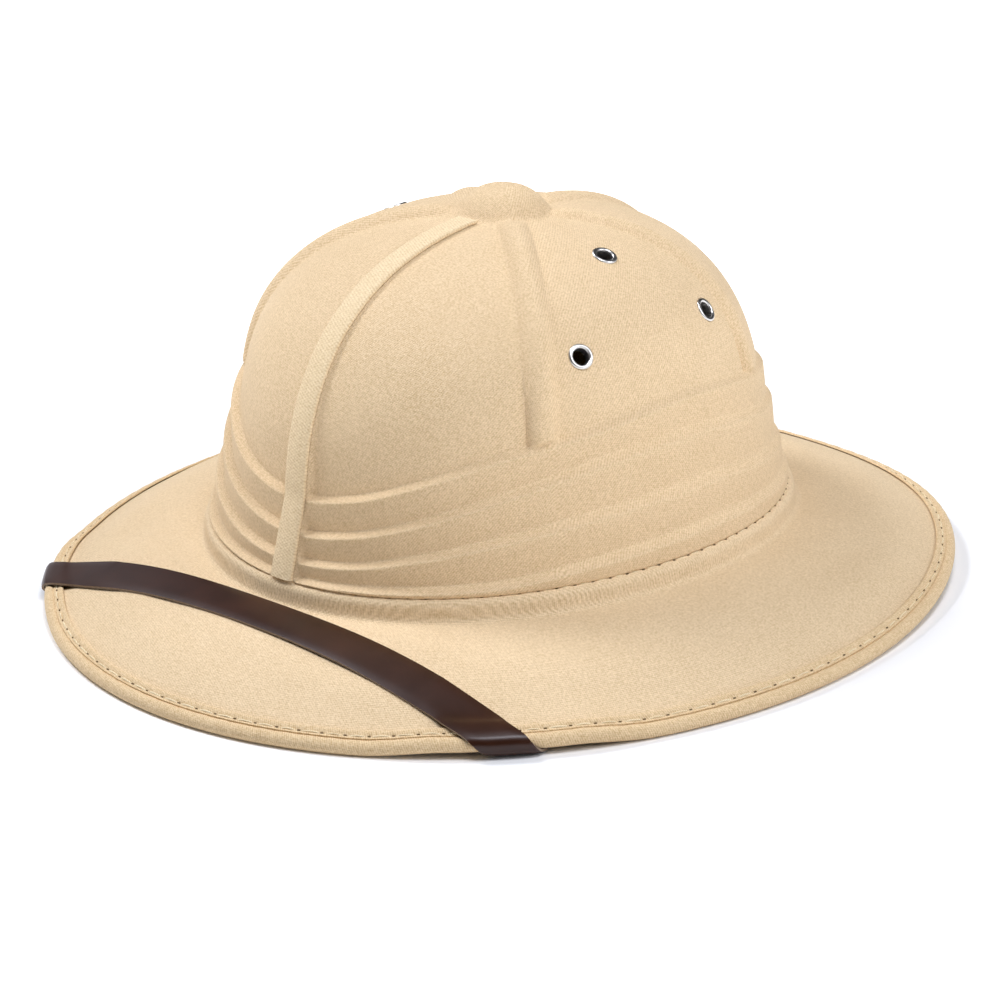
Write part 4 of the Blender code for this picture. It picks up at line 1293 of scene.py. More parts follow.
@dataclass
class Brim:
    """The sloping brim with its collar inside the crown and the round shoulder under the seam."""

    shape: HatShape
    columns: int = 620
    stitch_count: int = 104
    pucker: float = 0.16 * MM
    wander: float = 0.18 * MM
    shoulder_steps: int = 4
    inner_foot_down: float = 6.8 * MM
    inner_foot_out: float = 0.9 * MM
    inner_collar_down: float = 2.2 * MM

    def rings(self) -> Array:
        """Return the brim's rings, from the collar's top down, out over the brim and back under it.

        Returns:
            Points by ring, column and axis.
        """
        shape = self.shape
        angle = TAU * (np.arange(self.columns) + 0.5) / self.columns
        foot = shape.foot_widening

        def collar(height: float, inset: float) -> Array:
            """Return a ring of the collar inside the crown.

            Args:
                height: height above the seam.
                inset: distance inside the collar's outer face.

            Returns:
                The ring's points.
            """
            level = np.full_like(angle, height)
            inside = shape.widening(angle, level, shape.inner_steps) - shape.crown_wall - shape.collar_gap
            return shape.dome(angle, level, inside - inset)

        rows = [collar(shape.collar_height, 0.0), collar(0.0, 0.0)]
        profile = smooth_path(np.array([[r.out, r.down] for r in SHOULDER_ROWS]), self.shoulder_steps)
        wave = np.cos(angle * self.stitch_count)
        for k, (out, down) in enumerate(profile[:-1]):
            # The stitches pucker the cloth most just under the seam
            fade = math.exp(-((k - 5) / 5.0) ** 2)
            pulled = self.pucker * fade * (0.5 + 0.5 * wave)
            ring = shape.dome(angle, np.full_like(angle, -down), foot + out - pulled)
            # The rings start level with the leaning wall and end level with the brim
            lean = (1.0 - ease((k - 14) / 18.0)) * shape.wall_lean * foot
            ring[:, 2] = shape.seam(angle) - down + lean - pulled
            rows.append(ring)
        shares = np.concatenate([np.linspace(0.0, 0.12, 6), np.linspace(0.15, 0.90, 26), [0.94, 0.98]])
        for share in shares:
            middle, _, normal = shape.brim_frame(angle, np.full_like(angle, share))
            waves = np.sin(4 * angle + 9 * share) + np.sin(9 * angle - 14 * share)
            lift = shape.half_wall(share) + self.wander * waves * math.sin(math.pi * share)
            rows.append(middle + normal * lift[:, None])
        rows.append(shape.near_rim(angle, -shape.brim_into_roll, shape.half_wall(1.0)))
        rows.append(shape.near_rim(angle, -shape.brim_into_roll, -shape.half_wall(1.0)))
        for share in np.linspace(0.95, 0.02, 22):
            middle, _, normal = shape.brim_frame(angle, np.full_like(angle, share))
            rows.append(middle - normal * shape.half_wall(share))
        rows.append(shape.dome(angle, np.full_like(angle, -self.inner_foot_down), foot + self.inner_foot_out))
        rows.append(collar(-self.inner_collar_down, shape.collar_wall))
        rows.append(collar(shape.collar_height, shape.collar_wall))
        return np.array(rows)

    def build(self, cloth: bpy.types.Material) -> bpy.types.Object:
        """Return the brim, its UV taken straight down on the cloth as it is cut from one flat piece.

        Args:
            cloth: the cloth's material.

        Returns:
            The finished piece.
        """
        rings = self.rings()
        plan = rings[..., :2]
        mesh = loft("sloping_brim", rings, plan, np.roll(plan, -1, axis=1), Ends.LOOP)
        return finish_mesh("sloping_brim", mesh, [cloth])


@dataclass
class Binding:
    """The bias strip that is rolled round the brim's edge, with a flap on each face and a row of stitches."""

    shape: HatShape
    columns: int = 744
    stitch_count: int = 124
    stitch_inward: float = 2.7 * MM
    stitch_sunk: float = 0.22 * MM
    foot_half: float = 0.8 * MM
    flap_lip: float = 0.12 * MM
    under_lip: float = 0.05 * MM

    def outline(self, angle: Array) -> list[Array]:
        """Return the rings of the binding's outer face and of its channel.

        Args:
            angle: the angle of each column.

        Returns:
            One array of points for each ring.
        """
        shape = self.shape
        edge = float(shape.half_wall(1.0))
        inner = edge + shape.seat_gap
        flap = inner + shape.binding_wall
        wave = 0.5 + 0.5 * np.cos(angle * self.stitch_count)
        rows = []
        for row in UPPER_FLAP_ROWS:
            rows.append(shape.near_rim(angle, row.inward, inner + row.above * shape.binding_wall))
        for row in GROOVE_ROWS:
            rows.append(shape.near_rim(angle, row.inward, flap - row.depth * (0.55 + 0.45 * wave)))
        middle, down, _ = shape.brim_frame(angle, np.ones_like(angle))
        out = unit(down * np.array([1.0, 1.0, 0.0]))
        up = np.array([0.0, 0.0, 1.0])
        plump = shape.roll_radius * (1.0 - 0.05 * wave)[:, None]
        for turn in np.radians(np.linspace(112.0, -66.0, 17)):
            swell = plump if turn > 0.4 else shape.roll_radius
            rows.append(middle + (out * math.cos(turn) + up * math.sin(turn)) * swell)
        foot = middle - up * shape.roll_radius
        rows += [foot + out * self.foot_half, foot - out * self.foot_half]
        for row in UNDER_FLAP_ROWS:
            rows.append(shape.near_rim(angle, row.inward, -(inner + row.above * shape.binding_wall)))
        channel = shape.brim_into_roll + shape.seat_gap
        rows.append(shape.near_rim(angle, shape.binding_flap, -inner - self.under_lip))
        rows.append(shape.near_rim(angle, 0.0, -inner))
        rows.append(shape.near_rim(angle, -channel, -0.8 * inner))
        rows.append(shape.near_rim(angle, -channel, 0.8 * inner))
        rows.append(shape.near_rim(angle, 0.0, inner))
        rows.append(shape.near_rim(angle, shape.binding_flap, inner + self.flap_lip))
        return rows

    def build(self, cloth: bpy.types.Material) -> bpy.types.Object:
        """Return the binding, with a UV along the rim and across the strip.

        Args:
            cloth: the cloth's material.

        Returns:
            The finished piece.
        """
        angle = TAU * (np.arange(self.columns) + 0.5) / self.columns
        rings = np.array(self.outline(angle))
        down = np.concatenate([[np.zeros(self.columns)],
                               np.cumsum(np.linalg.norm(np.diff(rings, axis=0), axis=-1), axis=0)])
        radius = 0.5 * (self.shape.rim_half_length + self.shape.rim_half_width)
        step = TAU / self.columns
        along = np.broadcast_to(angle * radius, down.shape)
        left = np.stack([along, down], -1)
        right = np.stack([along + step * radius, np.roll(down, -1, axis=1)], -1)
        mesh = loft("rim_binding", rings, left, right, Ends.LOOP)
        return finish_mesh("rim_binding", mesh, [cloth])

    def stitch_places(self, shift: float) -> tuple[Array, Array, Array]:
        """Return places along the stitch row, their way along the rim and their way up.

        Args:
            shift: how far along the pitch, as a share.

        Returns:
            Points, ways along and ways up.
        """
        shape = self.shape
        angle = TAU * (np.arange(self.stitch_count) + shift) / self.stitch_count
        above = float(shape.half_wall(1.0)) + shape.seat_gap + shape.binding_wall - self.stitch_sunk
        points = shape.near_rim(angle, self.stitch_inward, above)
        ahead = shape.near_rim(angle + SMALL_TURN, self.stitch_inward, above)
        share = 1.0 - self.stitch_inward / shape.brim_length(angle)
        return points, unit(ahead - points), shape.brim_frame(angle, share)[2]


@dataclass
class Tape:
    """The woven tape that covers the front rib from the seam to the boss."""

    shape: HatShape
    crown: Crown
    width: float = 8.5 * MM
    thickness: float = 1.0 * MM
    top_reach: float = 18.0 * MM
    foot_height: float = 0.7 * MM
    gap: float = 0.35 * MM
    rows: int = 150

    def build(self, cloth: bpy.types.Material) -> bpy.types.Object:
        """Return the tape, slightly hollow at its selvedges, with a UV across and along it.

        Args:
            cloth: the cloth's material.

        Returns:
            The finished piece.
        """
        shape = self.shape
        half = 0.5 * self.width
        reach = self.top_reach / shape.dome_half_length
        top = shape.dome_height * (1.0 - reach**shape.dome_power) ** (1.0 / shape.dome_power)
        turn = np.linspace(math.asin(top / shape.dome_height), 0.0, self.rows)
        heights = self.foot_height + (top - self.foot_height) * np.sin(turn) / math.sin(turn[0])
        lines = [TapeLine(-line.across, line.thick) for line in TAPE_LINES[:0:-1]] + list(TAPE_LINES)
        across = half * np.array([line.across for line in lines])
        upper = self.thickness * np.array([line.thick for line in lines])
        middle = len(lines) // 2
        rings, left, right = [], [], []
        travelled = 0.0
        for height in heights:
            level = np.full(len(across), height)
            angle = np.zeros(len(across))
            for _ in range(2):
                spread = shape.spread(angle, level)
                angle = across / (spread * shape.dome_half_width)
            base = self.crown.relief(angle, level, spread, np.zeros(len(across), int), across) + self.gap
            near = shape.dome(angle, level, base)
            far = shape.dome(angle, level, base + upper)
            ring = np.concatenate([near, far[::-1]])
            if rings:
                travelled += float(np.linalg.norm(ring[middle] - rings[-1][middle]))
            u = np.concatenate([across, across[::-1]])
            rings.append(ring)
            left.append(np.stack([u, np.full(len(u), travelled)], -1))
            right.append(np.roll(left[-1], -1, axis=0))
        mesh = loft("woven_front_tape", np.array(rings), np.array(left), np.array(right), Ends.FLAT)
        return finish_mesh("woven_front_tape", mesh, [cloth])


@dataclass
class ChinStrap:
    """The flat leather strap over the front of the brim, round the rim and back under it on both sides."""

    shape: HatShape
    width: float = 14.0 * MM
    thickness: float = 1.1 * MM
    front_reach: float = 118.0 * MM
    side_reach: float = 117.6 * MM
    side_x: float = 85.0 * MM
    leaves_brim: float = 8.0 * MM
    over_flap_from: float = 5.5 * MM
    over_flap_rise: float = 5.0 * MM
    end_x: float = 98.5 * MM
    end_y: float = -2.0 * MM
    shoulder: float = 0.20
    shoulder_from: float = 0.75
    under_shoulder: float = 0.06 * MM
    lines: int = 9
    top_steps: int = 16
    under_steps: int = 12

    def offsets(self) -> Array:
        """Return the distances of the strap's lines from its middle."""
        return np.linspace(0.5 * self.width, -0.5 * self.width, self.lines)

    def face(self, x: Array, y: Array, side: float) -> tuple[Array, Array]:
        """Return the strap's inner face over or under the brim and the way out from it.

        Args:
            x: distances to the wearer's left.
            y: distances to the back.
            side: 1 over the brim, -1 under it.

        Returns:
            Points and ways out.
        """
        shape = self.shape
        angle, share = shape.plan_to_brim(x, y)
        middle, _, normal = shape.brim_frame(angle, share)
        inward = (1.0 - share) * shape.brim_length(angle)
        on_flap = ease((shape.binding_flap + self.over_flap_from - inward) / self.over_flap_rise)
        over = (shape.binding_wall + shape.seat_gap) * on_flap
        lift = shape.half_wall(share) + shape.seat_gap + over
        return middle + normal * (lift * side)[..., None], normal * side

    def top_station(self, x: Array) -> tuple[Array, Array]:
        """Return a station over the front brim, by line, from each line's distance to the wearer's left.

        Args:
            x: one distance for each line.

        Returns:
            Points and ways out.
        """
        reach = self.front_reach + (self.side_reach - self.front_reach) * (x / self.side_x) ** 2
        centre = self.shape.centring
        near = self.face(x, centre - reach + 1.0 * MM, 1.0)[0]
        far = self.face(x, centre - reach - 1.0 * MM, 1.0)[0]
        tilt = (near[:, 1] - far[:, 1]) / np.linalg.norm(near - far, axis=-1)
        return self.face(x, centre - reach + self.offsets() * tilt, 1.0)

    def crossings(self) -> tuple[Array, Array]:
        """Return where each line comes to the binding on the wearer's left, and its angle there.

        Returns:
            Distances to the wearer's left, and angles.
        """
        low, high = np.full(self.lines, 60.0 * MM), np.full(self.lines, 130.0 * MM)
        for _ in range(HALVINGS):
            x = 0.5 * (low + high)
            point = self.top_station(x)[0]
            angle, share = self.shape.plan_to_brim(point[:, 0], point[:, 1])
            before = (1.0 - share) * self.shape.brim_length(angle) > self.leaves_brim
            low, high = np.where(before, x, low), np.where(before, high, x)
        return x, angle

    def along_rim(self, angle: Array, over: float, round_it: float, under: float) -> Array:
        """Return how far round the rim the strap has gone, for a strap that comes in along X.

        Args:
            angle: each line's angle where it comes to the binding.
            over: how far it has come over the brim since then.
            round_it: how far round the roll.
            under: how far back under the brim.

        Returns:
            The turn round the hat for each line.
        """
        shape = self.shape
        speed = np.hypot(shape.rim_half_width * np.cos(angle), shape.rim_half_length * np.sin(angle))
        tangent = np.stack([shape.rim_half_width * np.cos(angle), shape.rim_half_length * np.sin(angle)], -1)
        tangent = tangent / speed[:, None]
        square = np.stack([tangent[:, 1], -tangent[:, 0]], -1)
        span = shape.roll_middle(angle) - shape.brim_start(angle)
        ruled = unit(span[:, :2])
        straight = (ruled * square).sum(-1)
        skew = (ruled * tangent).sum(-1) / straight
        lean = tangent[:, 0] / square[:, 0]
        return (over * straight * (lean - skew) + round_it * lean + under * straight * (lean + skew)) / speed

    def half(self) -> tuple[Array, Array]:
        """Return the stations of the wearer's left half, from the middle of the front to the hidden end.

        Returns:
            Points and ways out, by station and line.
        """
        shape = self.shape
        ends, angle = self.crossings()
        evenly = [ends.min() * k / self.top_steps for k in range(self.top_steps)]
        stations = [self.top_station(np.full(self.lines, x)) for x in evenly]
        stations.append(self.top_station(ends))
        radius = shape.roll_radius + shape.seat_gap
        flap = float(shape.half_wall(1.0)) + 2.0 * shape.seat_gap + shape.binding_wall
        far, near = self.leaves_brim - 3.0 * MM, self.leaves_brim - 6.0 * MM
        half_round = math.pi * radius
        wraps = [WrapRow(far, flap, 90.0, self.leaves_brim - far, 0.0, 0.0),
                 WrapRow(near, radius, 90.0, self.leaves_brim - near, 0.0, 0.0)]
        for turn in np.linspace(90.0, -90.0, 9):
            wraps.append(WrapRow(0.0, 0.0, turn, self.leaves_brim, radius * math.radians(90.0 - turn), 0.0))
        wraps += [WrapRow(near, -radius, -90.0, self.leaves_brim, half_round, near),
                  WrapRow(far, -flap, -90.0, self.leaves_brim, half_round, far)]
        for row in wraps:
            here = angle + self.along_rim(angle, row.over, row.round_it, row.under)
            middle, down, normal = shape.brim_frame(here, np.ones_like(here))
            if row.inward > 0.0:
                face = shape.near_rim(here, row.inward, row.above)
                stations.append((face, normal * math.copysign(1.0, row.above)))
            else:
                way = down * math.cos(math.radians(row.turn)) + normal * math.sin(math.radians(row.turn))
                stations.append((middle + way * radius, way))
        middle_line = self.lines // 2
        start, before = stations[-1][0][middle_line, :2], stations[-2][0][middle_line, :2]
        heading = unit(start - before)
        end = np.array([self.end_x, self.end_y + shape.centring])
        bend = start + heading * 0.4 * np.linalg.norm(end - start)
        for k in range(1, self.under_steps + 1):
            t = k / self.under_steps
            place = start * (1 - t) ** 2 + bend * 2 * t * (1 - t) + end * t**2
            way = unit((bend - start) * (1 - t) + (end - bend) * t)
            side = np.array([way[1], -way[0]])
            plan = place + side * self.offsets()[:, None]
            stations.append(self.face(plan[:, 0], plan[:, 1], -1.0))
        return np.array([s[0] for s in stations]), np.array([s[1] for s in stations])

    def build(self, face: bpy.types.Material, edge: bpy.types.Material) -> bpy.types.Object:
        """Return the strap with rounded shoulders to its faces and bare fibres along its cut sides.

        Args:
            face: the material of the strap's faces.
            edge: the material of its cut sides.

        Returns:
            The finished piece.
        """
        points, outs = self.half()
        flip = np.array([-1.0, 1.0, 1.0])
        points = np.concatenate([(points * flip)[:0:-1], points])
        outs = np.concatenate([(outs * flip)[:0:-1], outs])
        points, outs = smooth_path(points, 4), unit(smooth_path(outs, 4))
        across = np.abs(self.offsets()) / (0.5 * self.width)
        at_edge = ease((across - self.shoulder_from) / (1.0 - self.shoulder_from))
        near = points + outs * (self.under_shoulder * at_edge)[:, None]
        far = points + outs * (self.thickness * (1.0 - self.shoulder * at_edge))[:, None]
        rings = np.concatenate([near, far[:, ::-1]], axis=1)
        middle_steps = np.linalg.norm(np.diff(points[:, self.lines // 2], axis=0), axis=-1)
        travelled = np.concatenate([[0.0], np.cumsum(middle_steps)])
        u = np.concatenate([self.offsets(), self.offsets()[::-1]])
        left = np.stack(np.broadcast_arrays(u[None, :], travelled[:, None]), -1)
        mesh = loft("leather_chin_strap", rings, left, np.roll(left, -1, axis=1), Ends.FLAT)
        mesh.materials.append(face)
        mesh.materials.append(edge)
        count = rings.shape[1]
        for polygon in mesh.polygons:
            columns = {v % count for v in polygon.vertices}
            if len(columns) == 2 and columns in ({self.lines - 1, self.lines}, {0, count - 1}):
                polygon.material_index = 1
        return finish_mesh("leather_chin_strap", mesh, [])


@dataclass
class Eyelets:
    """The six pressed rings that line the air holes."""

    shape: HatShape
    flange_radius: float = 4.3 * MM
    bore_radius: float = 2.75 * MM
    barrel_radius: float = 3.15 * MM
    flange_rise: float = 0.60 * MM
    flange_sunk: float = 0.35 * MM
    inner_gap: float = 1.25 * MM
    inner_roll: float = 0.35 * MM
    barrel_top: float = 0.05 * MM
    steps: int = 56

    def section(self) -> Array:
        """Return the ring's turned section as radius and height above the cloth, all the way round it.

        Returns:
            Rows of radius and height.
        """
        under = -self.shape.crown_wall
        inner = under - self.inner_gap
        rows = []
        roll_middle = 0.5 * (self.flange_radius + self.bore_radius)
        half = 0.5 * (self.flange_radius - self.bore_radius)
        for turn in np.radians(np.linspace(0.0, 180.0, 13)):
            rows.append((roll_middle + half * math.cos(turn),
                         self.flange_rise * math.sin(turn) - self.flange_sunk))
        rows += [(self.bore_radius, under), (self.bore_radius, inner)]
        for turn in np.radians(np.linspace(180.0, 360.0, 9)):
            rows.append((roll_middle + half * math.cos(turn), inner + self.inner_roll * math.sin(turn)))
        rows += [(self.barrel_radius, inner + self.barrel_top), (self.barrel_radius, self.barrel_top)]
        return np.array(rows)

    def build(self, metal: bpy.types.Material) -> dict[str, bpy.types.Object]:
        """Return a ring for each eyelet, by the name of the CAD node that it stands for.

        Args:
            metal: the rings' material.

        Returns:
            The six finished pieces.
        """
        rings = {}
        turns = TAU * np.arange(self.steps) / self.steps
        section = self.section()
        for side in Side:
            for place in EYELET_PLACES:
                matrix = np.array(eyelet_frame(self.shape, place, side)[1])
                local = np.stack([section[:, :1] * np.cos(turns), section[:, :1] * np.sin(turns),
                                  np.broadcast_to(section[:, 1:], (len(section), self.steps)),
                                  np.ones((len(section), self.steps))], -1)
                world = (local @ matrix.T)[..., :3]
                flat = local[..., :2]
                label = f"{side.name.lower()}_{place.label}"
                mesh = loft(f"nickel_eyelet_{label}", world, flat, np.roll(flat, -1, axis=1), Ends.LOOP)
                rings[f"eyelet_{label}"] = finish_mesh(f"nickel_eyelet_{label}", mesh, [metal])
        return rings


@dataclass(frozen=True)
class StitchRun:
    """A run of hand-sized stitches, each a short arched thread that dips into the cloth at both ends."""

    name: str
    length: float
    thickness: float
    rise: float
    sink: float
    seed: int

    def tree(self) -> bpy.types.NodeTree:
        """Return the Geometry Nodes tree that lays one thread on each point.

        Returns:
            The node tree, with a named input for each size.
        """
        tree = bpy.data.node_groups.new(self.name, "GeometryNodeTree")
        face = tree.interface
        face.new_socket("Geometry", in_out="INPUT", socket_type="NodeSocketGeometry")
        for label in ("Length", "Thickness", "Rise", "Sink"):
            face.new_socket(label, in_out="INPUT", socket_type="NodeSocketFloat")
        face.new_socket("Seed", in_out="INPUT", socket_type="NodeSocketInt")
        face.new_socket("Thread", in_out="INPUT", socket_type="NodeSocketMaterial")
        face.new_socket("Geometry", in_out="OUTPUT", socket_type="NodeSocketGeometry")
        given = add_node(tree, "NodeGroupInput").outputs
        half = add_node(tree, "ShaderNodeMath", {0: given["Length"], 1: 0.5}, operation="MULTIPLY")
        back = add_node(tree, "ShaderNodeMath", {0: given["Length"], 1: -0.5}, operation="MULTIPLY")
        low = add_node(tree, "ShaderNodeMath", {0: given["Sink"], 1: -1.0}, operation="MULTIPLY")
        start = add_node(tree, "ShaderNodeCombineXYZ", {"X": back.outputs[0], "Z": low.outputs[0]})
        middle = add_node(tree, "ShaderNodeCombineXYZ", {"Z": given["Rise"]})
        end = add_node(tree, "ShaderNodeCombineXYZ", {"X": half.outputs[0], "Z": low.outputs[0]})
        arch = add_node(tree, "GeometryNodeCurveQuadraticBezier", {
            "Resolution": 7, "Start": start.outputs[0], "Middle": middle.outputs[0], "End": end.outputs[0]})
        radius = add_node(tree, "ShaderNodeMath", {0: given["Thickness"], 1: 0.5}, operation="MULTIPLY")
        ring = add_node(tree, "GeometryNodeCurvePrimitiveCircle", {
            "Resolution": 7, "Radius": radius.outputs[0]})
        thread = add_node(tree, "GeometryNodeCurveToMesh", {
            "Curve": arch.outputs[0], "Profile Curve": ring.outputs[0], "Fill Caps": True})
        along = add_node(tree, "GeometryNodeInputNamedAttribute", {"Name": "along"}, data_type="FLOAT_VECTOR")
        up = add_node(tree, "GeometryNodeInputNamedAttribute", {"Name": "up"}, data_type="FLOAT_VECTOR")
        turned = add_node(tree, "FunctionNodeAxesToRotation", {
            "Primary Axis": up.outputs["Attribute"], "Secondary Axis": along.outputs["Attribute"]},
            primary_axis="Z", secondary_axis="X")
        size = add_node(tree, "FunctionNodeRandomValue", {
            "Min": (0.82, 0.85, 0.75), "Max": (1.08, 1.1, 1.15), "Seed": given["Seed"]},
            data_type="FLOAT_VECTOR")
        laid = add_node(tree, "GeometryNodeInstanceOnPoints", {
            "Points": given["Geometry"], "Instance": thread.outputs[0], "Rotation": turned.outputs[0],
            "Scale": size.outputs[0]})
        real = add_node(tree, "GeometryNodeRealizeInstances", {"Geometry": laid.outputs[0]})
        dressed = add_node(tree, "GeometryNodeSetMaterial", {
            "Geometry": real.outputs[0], "Material": given["Thread"]})
        add_node(tree, "NodeGroupOutput", {"Geometry": dressed.outputs[0]})
        return tree

    def build(self, places: tuple[Array, Array, Array], thread: bpy.types.Material) -> bpy.types.Object:
        """Return the run as one plain mesh.

        Args:
            places: the stitches' middles, their way along the run and their way up.
            thread: the thread's material.

        Returns:
            The finished piece.
        """
        points, along, up = places
        mesh = bpy.data.meshes.new(f"{self.name}_points")
        mesh.from_pydata(points.tolist(), [], [])
        for label, values in (("along", along), ("up", up)):
            layer = mesh.attributes.new(label, "FLOAT_VECTOR", "POINT")
            layer.data.foreach_set("vector", values.astype(np.float32).ravel())
        carrier = bpy.data.objects.new(f"{self.name}_points", mesh)
        bpy.context.scene.collection.objects.link(carrier)
        modifier = carrier.modifiers.new("stitches", "NODES")
        modifier.node_group = self.tree()
        values = {"Length": self.length, "Thickness": self.thickness, "Rise": self.rise, "Sink": self.sink,
                  "Seed": self.seed, "Thread": thread}
        for item in modifier.node_group.interface.items_tree:
            if item.in_out == "INPUT" and item.name in values:
                modifier[item.identifier] = values[item.name]
        graph = bpy.context.evaluated_depsgraph_get()
        made = bpy.data.meshes.new_from_object(carrier.evaluated_get(graph))
        bpy.data.objects.remove(carrier, do_unlink=True)
        return finish_mesh(self.name, made, [thread])


@dataclass
class Seam:
    """The row of stitches where the crown meets the brim's shoulder."""

    shape: HatShape
    count: int = 104
    above: float = 0.1 * MM
    upward: float = 0.7

    def places(self, shift: float) -> tuple[Array, Array, Array]:
        """Return places along the seam, their way round it and their way out.

        Args:
            shift: how far along the pitch, as a share.

        Returns:
            Points, ways along and ways up.
        """
        shape = self.shape
        angle = TAU * (np.arange(self.count) + shift) / self.count
        height = np.full_like(angle, self.above)
        points = shape.dome(angle, height, shape.foot_widening)
        ahead = shape.dome(angle + SMALL_TURN, height, shape.foot_widening)
        out = unit(shape.dome(angle, height, shape.foot_widening + MM) - points)
        tilted = unit(out + np.array([0.0, 0.0, self.upward]))
        return points, unit(ahead - points), tilted


@dataclass
class Studio:
    """Plain pale floor, soft lights and the camera."""

    azimuth: float = 42.459
    elevation: float = 21.232
    roll: float = -1.311
    distance: float = 1.12204
    target: tuple[float, float, float] = (0.0, 0.00023, 0.02173)
    focal_pixels: float = 3247.9
    shift: tuple[float, float] = (0.00217, 0.00614)
    picture_pixels: float = 1000.0
    sensor_width: float = 36.0
    light_distance: float = 1.6
    light_aim: tuple[float, float, float] = (0.0, 0.0, 0.05)
    light_tone: str = "#f4f7ff"
    surround: float = 0.02
    floor_half: float = 8.0
    floor_tone: str = "#fbfbfb"
    white: str = "#ffffff"
    glow_from: float = 0.15
    glow_to: float = 0.38
    glow: float = 0.8

    def camera(self) -> None:
        """Set the camera at the hat's front left."""
        az, el, roll = (math.radians(v) for v in (self.azimuth, self.elevation, self.roll))
        back = Vector((math.sin(az) * math.cos(el), -math.cos(az) * math.cos(el), math.sin(el)))
        right = Vector((math.cos(az), math.sin(az), 0.0))
        up = back.cross(right)
        across = right * math.cos(roll) + up * math.sin(roll)
        upright = up * math.cos(roll) - right * math.sin(roll)
        data = bpy.data.cameras.new("camera")
        data.sensor_width = self.sensor_width
        data.lens = self.focal_pixels * self.sensor_width / self.picture_pixels
        data.clip_start = 0.05
        data.shift_x, data.shift_y = self.shift
        made = bpy.data.objects.new("camera", data)
        bpy.context.scene.collection.objects.link(made)
        matrix = Matrix((across, upright, back)).transposed().to_4x4()
        matrix.translation = Vector(self.target) + back * self.distance
        made.matrix_world = matrix
        bpy.context.scene.camera = made

    def light(self, box: Softbox) -> None:
        """Add a square soft light that looks at the hat.

        Args:
            box: the light's place, size and power.
        """
        data = bpy.data.lights.new(box.name, "AREA")
        data.shape, data.size, data.energy = "SQUARE", box.side, box.power
        data.color = linear(self.light_tone)[:3]
        az, el = math.radians(box.azimuth), math.radians(box.elevation)
        way = Vector((math.sin(az) * math.cos(el), -math.cos(az) * math.cos(el), math.sin(el)))
        made = bpy.data.objects.new(box.name, data)
        made.location = Vector(self.light_aim) + way * self.light_distance
        made.rotation_euler = way.to_track_quat("Z", "Y").to_euler()
        bpy.context.scene.collection.objects.link(made)

    def build(self) -> None:
        """Set the floor, the lights and the surrounding light."""
        scene = bpy.context.scene
        scene.view_settings.view_transform = "Standard"
        world = bpy.data.worlds.new("studio")
        world.use_nodes = True
        background = world.node_tree.nodes["Background"]
        background.inputs["Color"].default_value = linear(self.white)
        background.inputs["Strength"].default_value = self.surround
        scene.world = world
        for box in SOFTBOXES:
            self.light(box)
        mesh = bpy.data.meshes.new("floor")
        far = self.floor_half
        mesh.from_pydata([(-far, -far, 0), (far, -far, 0), (far, far, 0), (-far, far, 0)], [], [(0, 1, 2, 3)])
        made, tree, shader = new_material("pale_floor_paper")
        place = add_node(tree, "ShaderNodeTexCoord").outputs["Object"]
        fibre = add_node(tree, "ShaderNodeTexNoise", {"Vector": place, "Scale": 300.0})
        bump = add_node(tree, "ShaderNodeBump", {"Height": fibre.outputs["Fac"], "Strength": 0.02})
        # Away from the hat the paper glows with painted light of its own, so that it stays white
        away = add_node(tree, "ShaderNodeVectorMath", {0: place}, operation="LENGTH").outputs["Value"]
        glow = add_node(tree, "ShaderNodeMapRange", {
            "Value": away, "From Min": self.glow_from, "From Max": self.glow_to, "To Max": self.glow})
        tree.links.new(glow.outputs[0], shader.inputs["Emission Strength"])
        tree.links.new(bump.outputs[0], shader.inputs["Normal"])
        shader.inputs["Base Color"].default_value = linear(self.floor_tone)
        shader.inputs["Emission Color"].default_value = linear(self.white)
        shader.inputs["Roughness"].default_value = 0.95
        floor = finish_mesh("floor", mesh, [made])
        self.camera()


def carry(piece: bpy.types.Object, node: str | None = None) -> None:
    """Fix a piece to the hat and the CAD node that it stands for, and report it.

    Args:
        piece: the finished piece.
        node: the CAD node that it stands for, if any.
    """
    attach(piece, "root")
    if node:
        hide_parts(node)
    LOG.info("%s: %d faces, stands for %s", piece.name, len(piece.data.polygons), node or "no node")


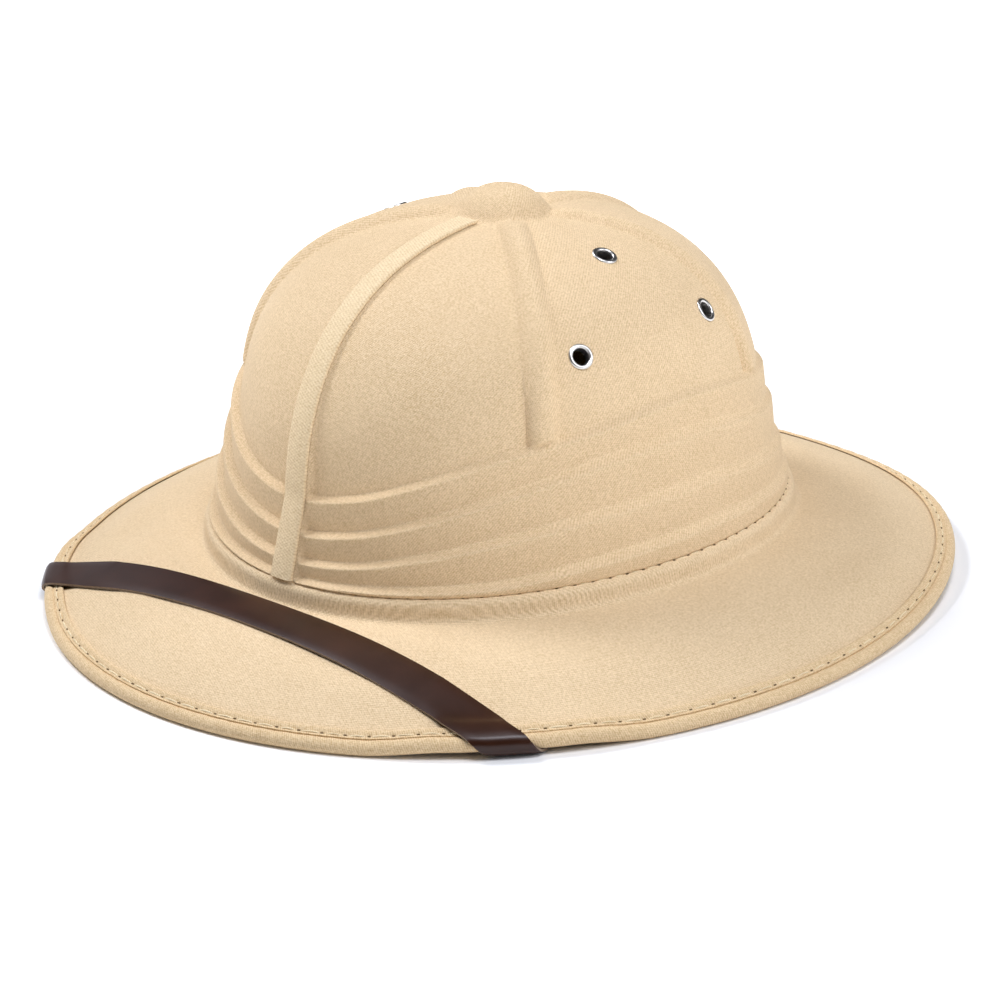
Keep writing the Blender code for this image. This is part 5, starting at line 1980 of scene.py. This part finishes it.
def main() -> None:
    """Build the hat's looks piece by piece."""
    logging.basicConfig(level=logging.INFO, format="%(message)s")
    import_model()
    shape = HatShape()
    crown_cloth = Twill("crown_cotton_twill", light="#fbe1bd", shade="#c4a575", lean=38.0).make()
    brim_cloth = Twill("brim_cotton_twill", light="#fce4c1", shade="#c8aa7c", lean=52.0).make()
    binding_cloth = Twill("binding_bias_twill", light="#fae1ba", shade="#c19f6d", lean=20.0).make()
    tape_cloth = Twill("woven_tape_twill", light="#fde8c4", shade="#d3b587", lean=60.0,
                       pitch=0.95 * MM, relief=0.16 * MM, mottle=0.12).make()

    crown = Crown(shape)
    carry(crown.build(crown_cloth), "crown")
    carry(Brim(shape).build(brim_cloth), "brim")
    binding = Binding(shape)
    carry(binding.build(binding_cloth), "edge_binding")
    carry(Tape(shape, crown).build(tape_cloth), "front_tape")
    carry(ChinStrap(shape).build(Leather().make(), RawEdge().make()), "chin_strap")
    for node, ring in Eyelets(shape).build(Nickel().make()).items():
        carry(ring, node)

    thread = Thread("cotton_seam_thread", light="#fbeccb", shade="#d9bf92").make()
    seam = Seam(shape)
    run = StitchRun("seam_stitches", length=3.9 * MM, thickness=0.60 * MM, rise=0.75 * MM,
                    sink=0.40 * MM, seed=7)
    carry(run.build(seam.places(shift=0.5), thread))
    run = StitchRun("binding_stitches", length=5.2 * MM, thickness=0.62 * MM, rise=0.70 * MM,
                    sink=0.35 * MM, seed=11)
    carry(run.build(binding.stitch_places(shift=0.5), thread))

    # Painted shade: a short dark thread, pressed flat between two stitches, stands for the dark inside each
    # needle hole
    shadow = Thread("needle_hole_painted_shade", light="#7a5c38", shade="#54401f").make()
    run = StitchRun("seam_needle_hole_painted_shade", length=0.9 * MM, thickness=0.70 * MM, rise=0.05 * MM,
                    sink=0.15 * MM, seed=3)
    carry(run.build(seam.places(shift=0.0), shadow))
    run = StitchRun("binding_needle_hole_painted_shade", length=0.9 * MM, thickness=0.50 * MM, rise=0.0,
                    sink=0.15 * MM, seed=5)
    carry(run.build(binding.stitch_places(shift=0.0), shadow))

    Studio().build()


if __name__ == "__main__":
    main()
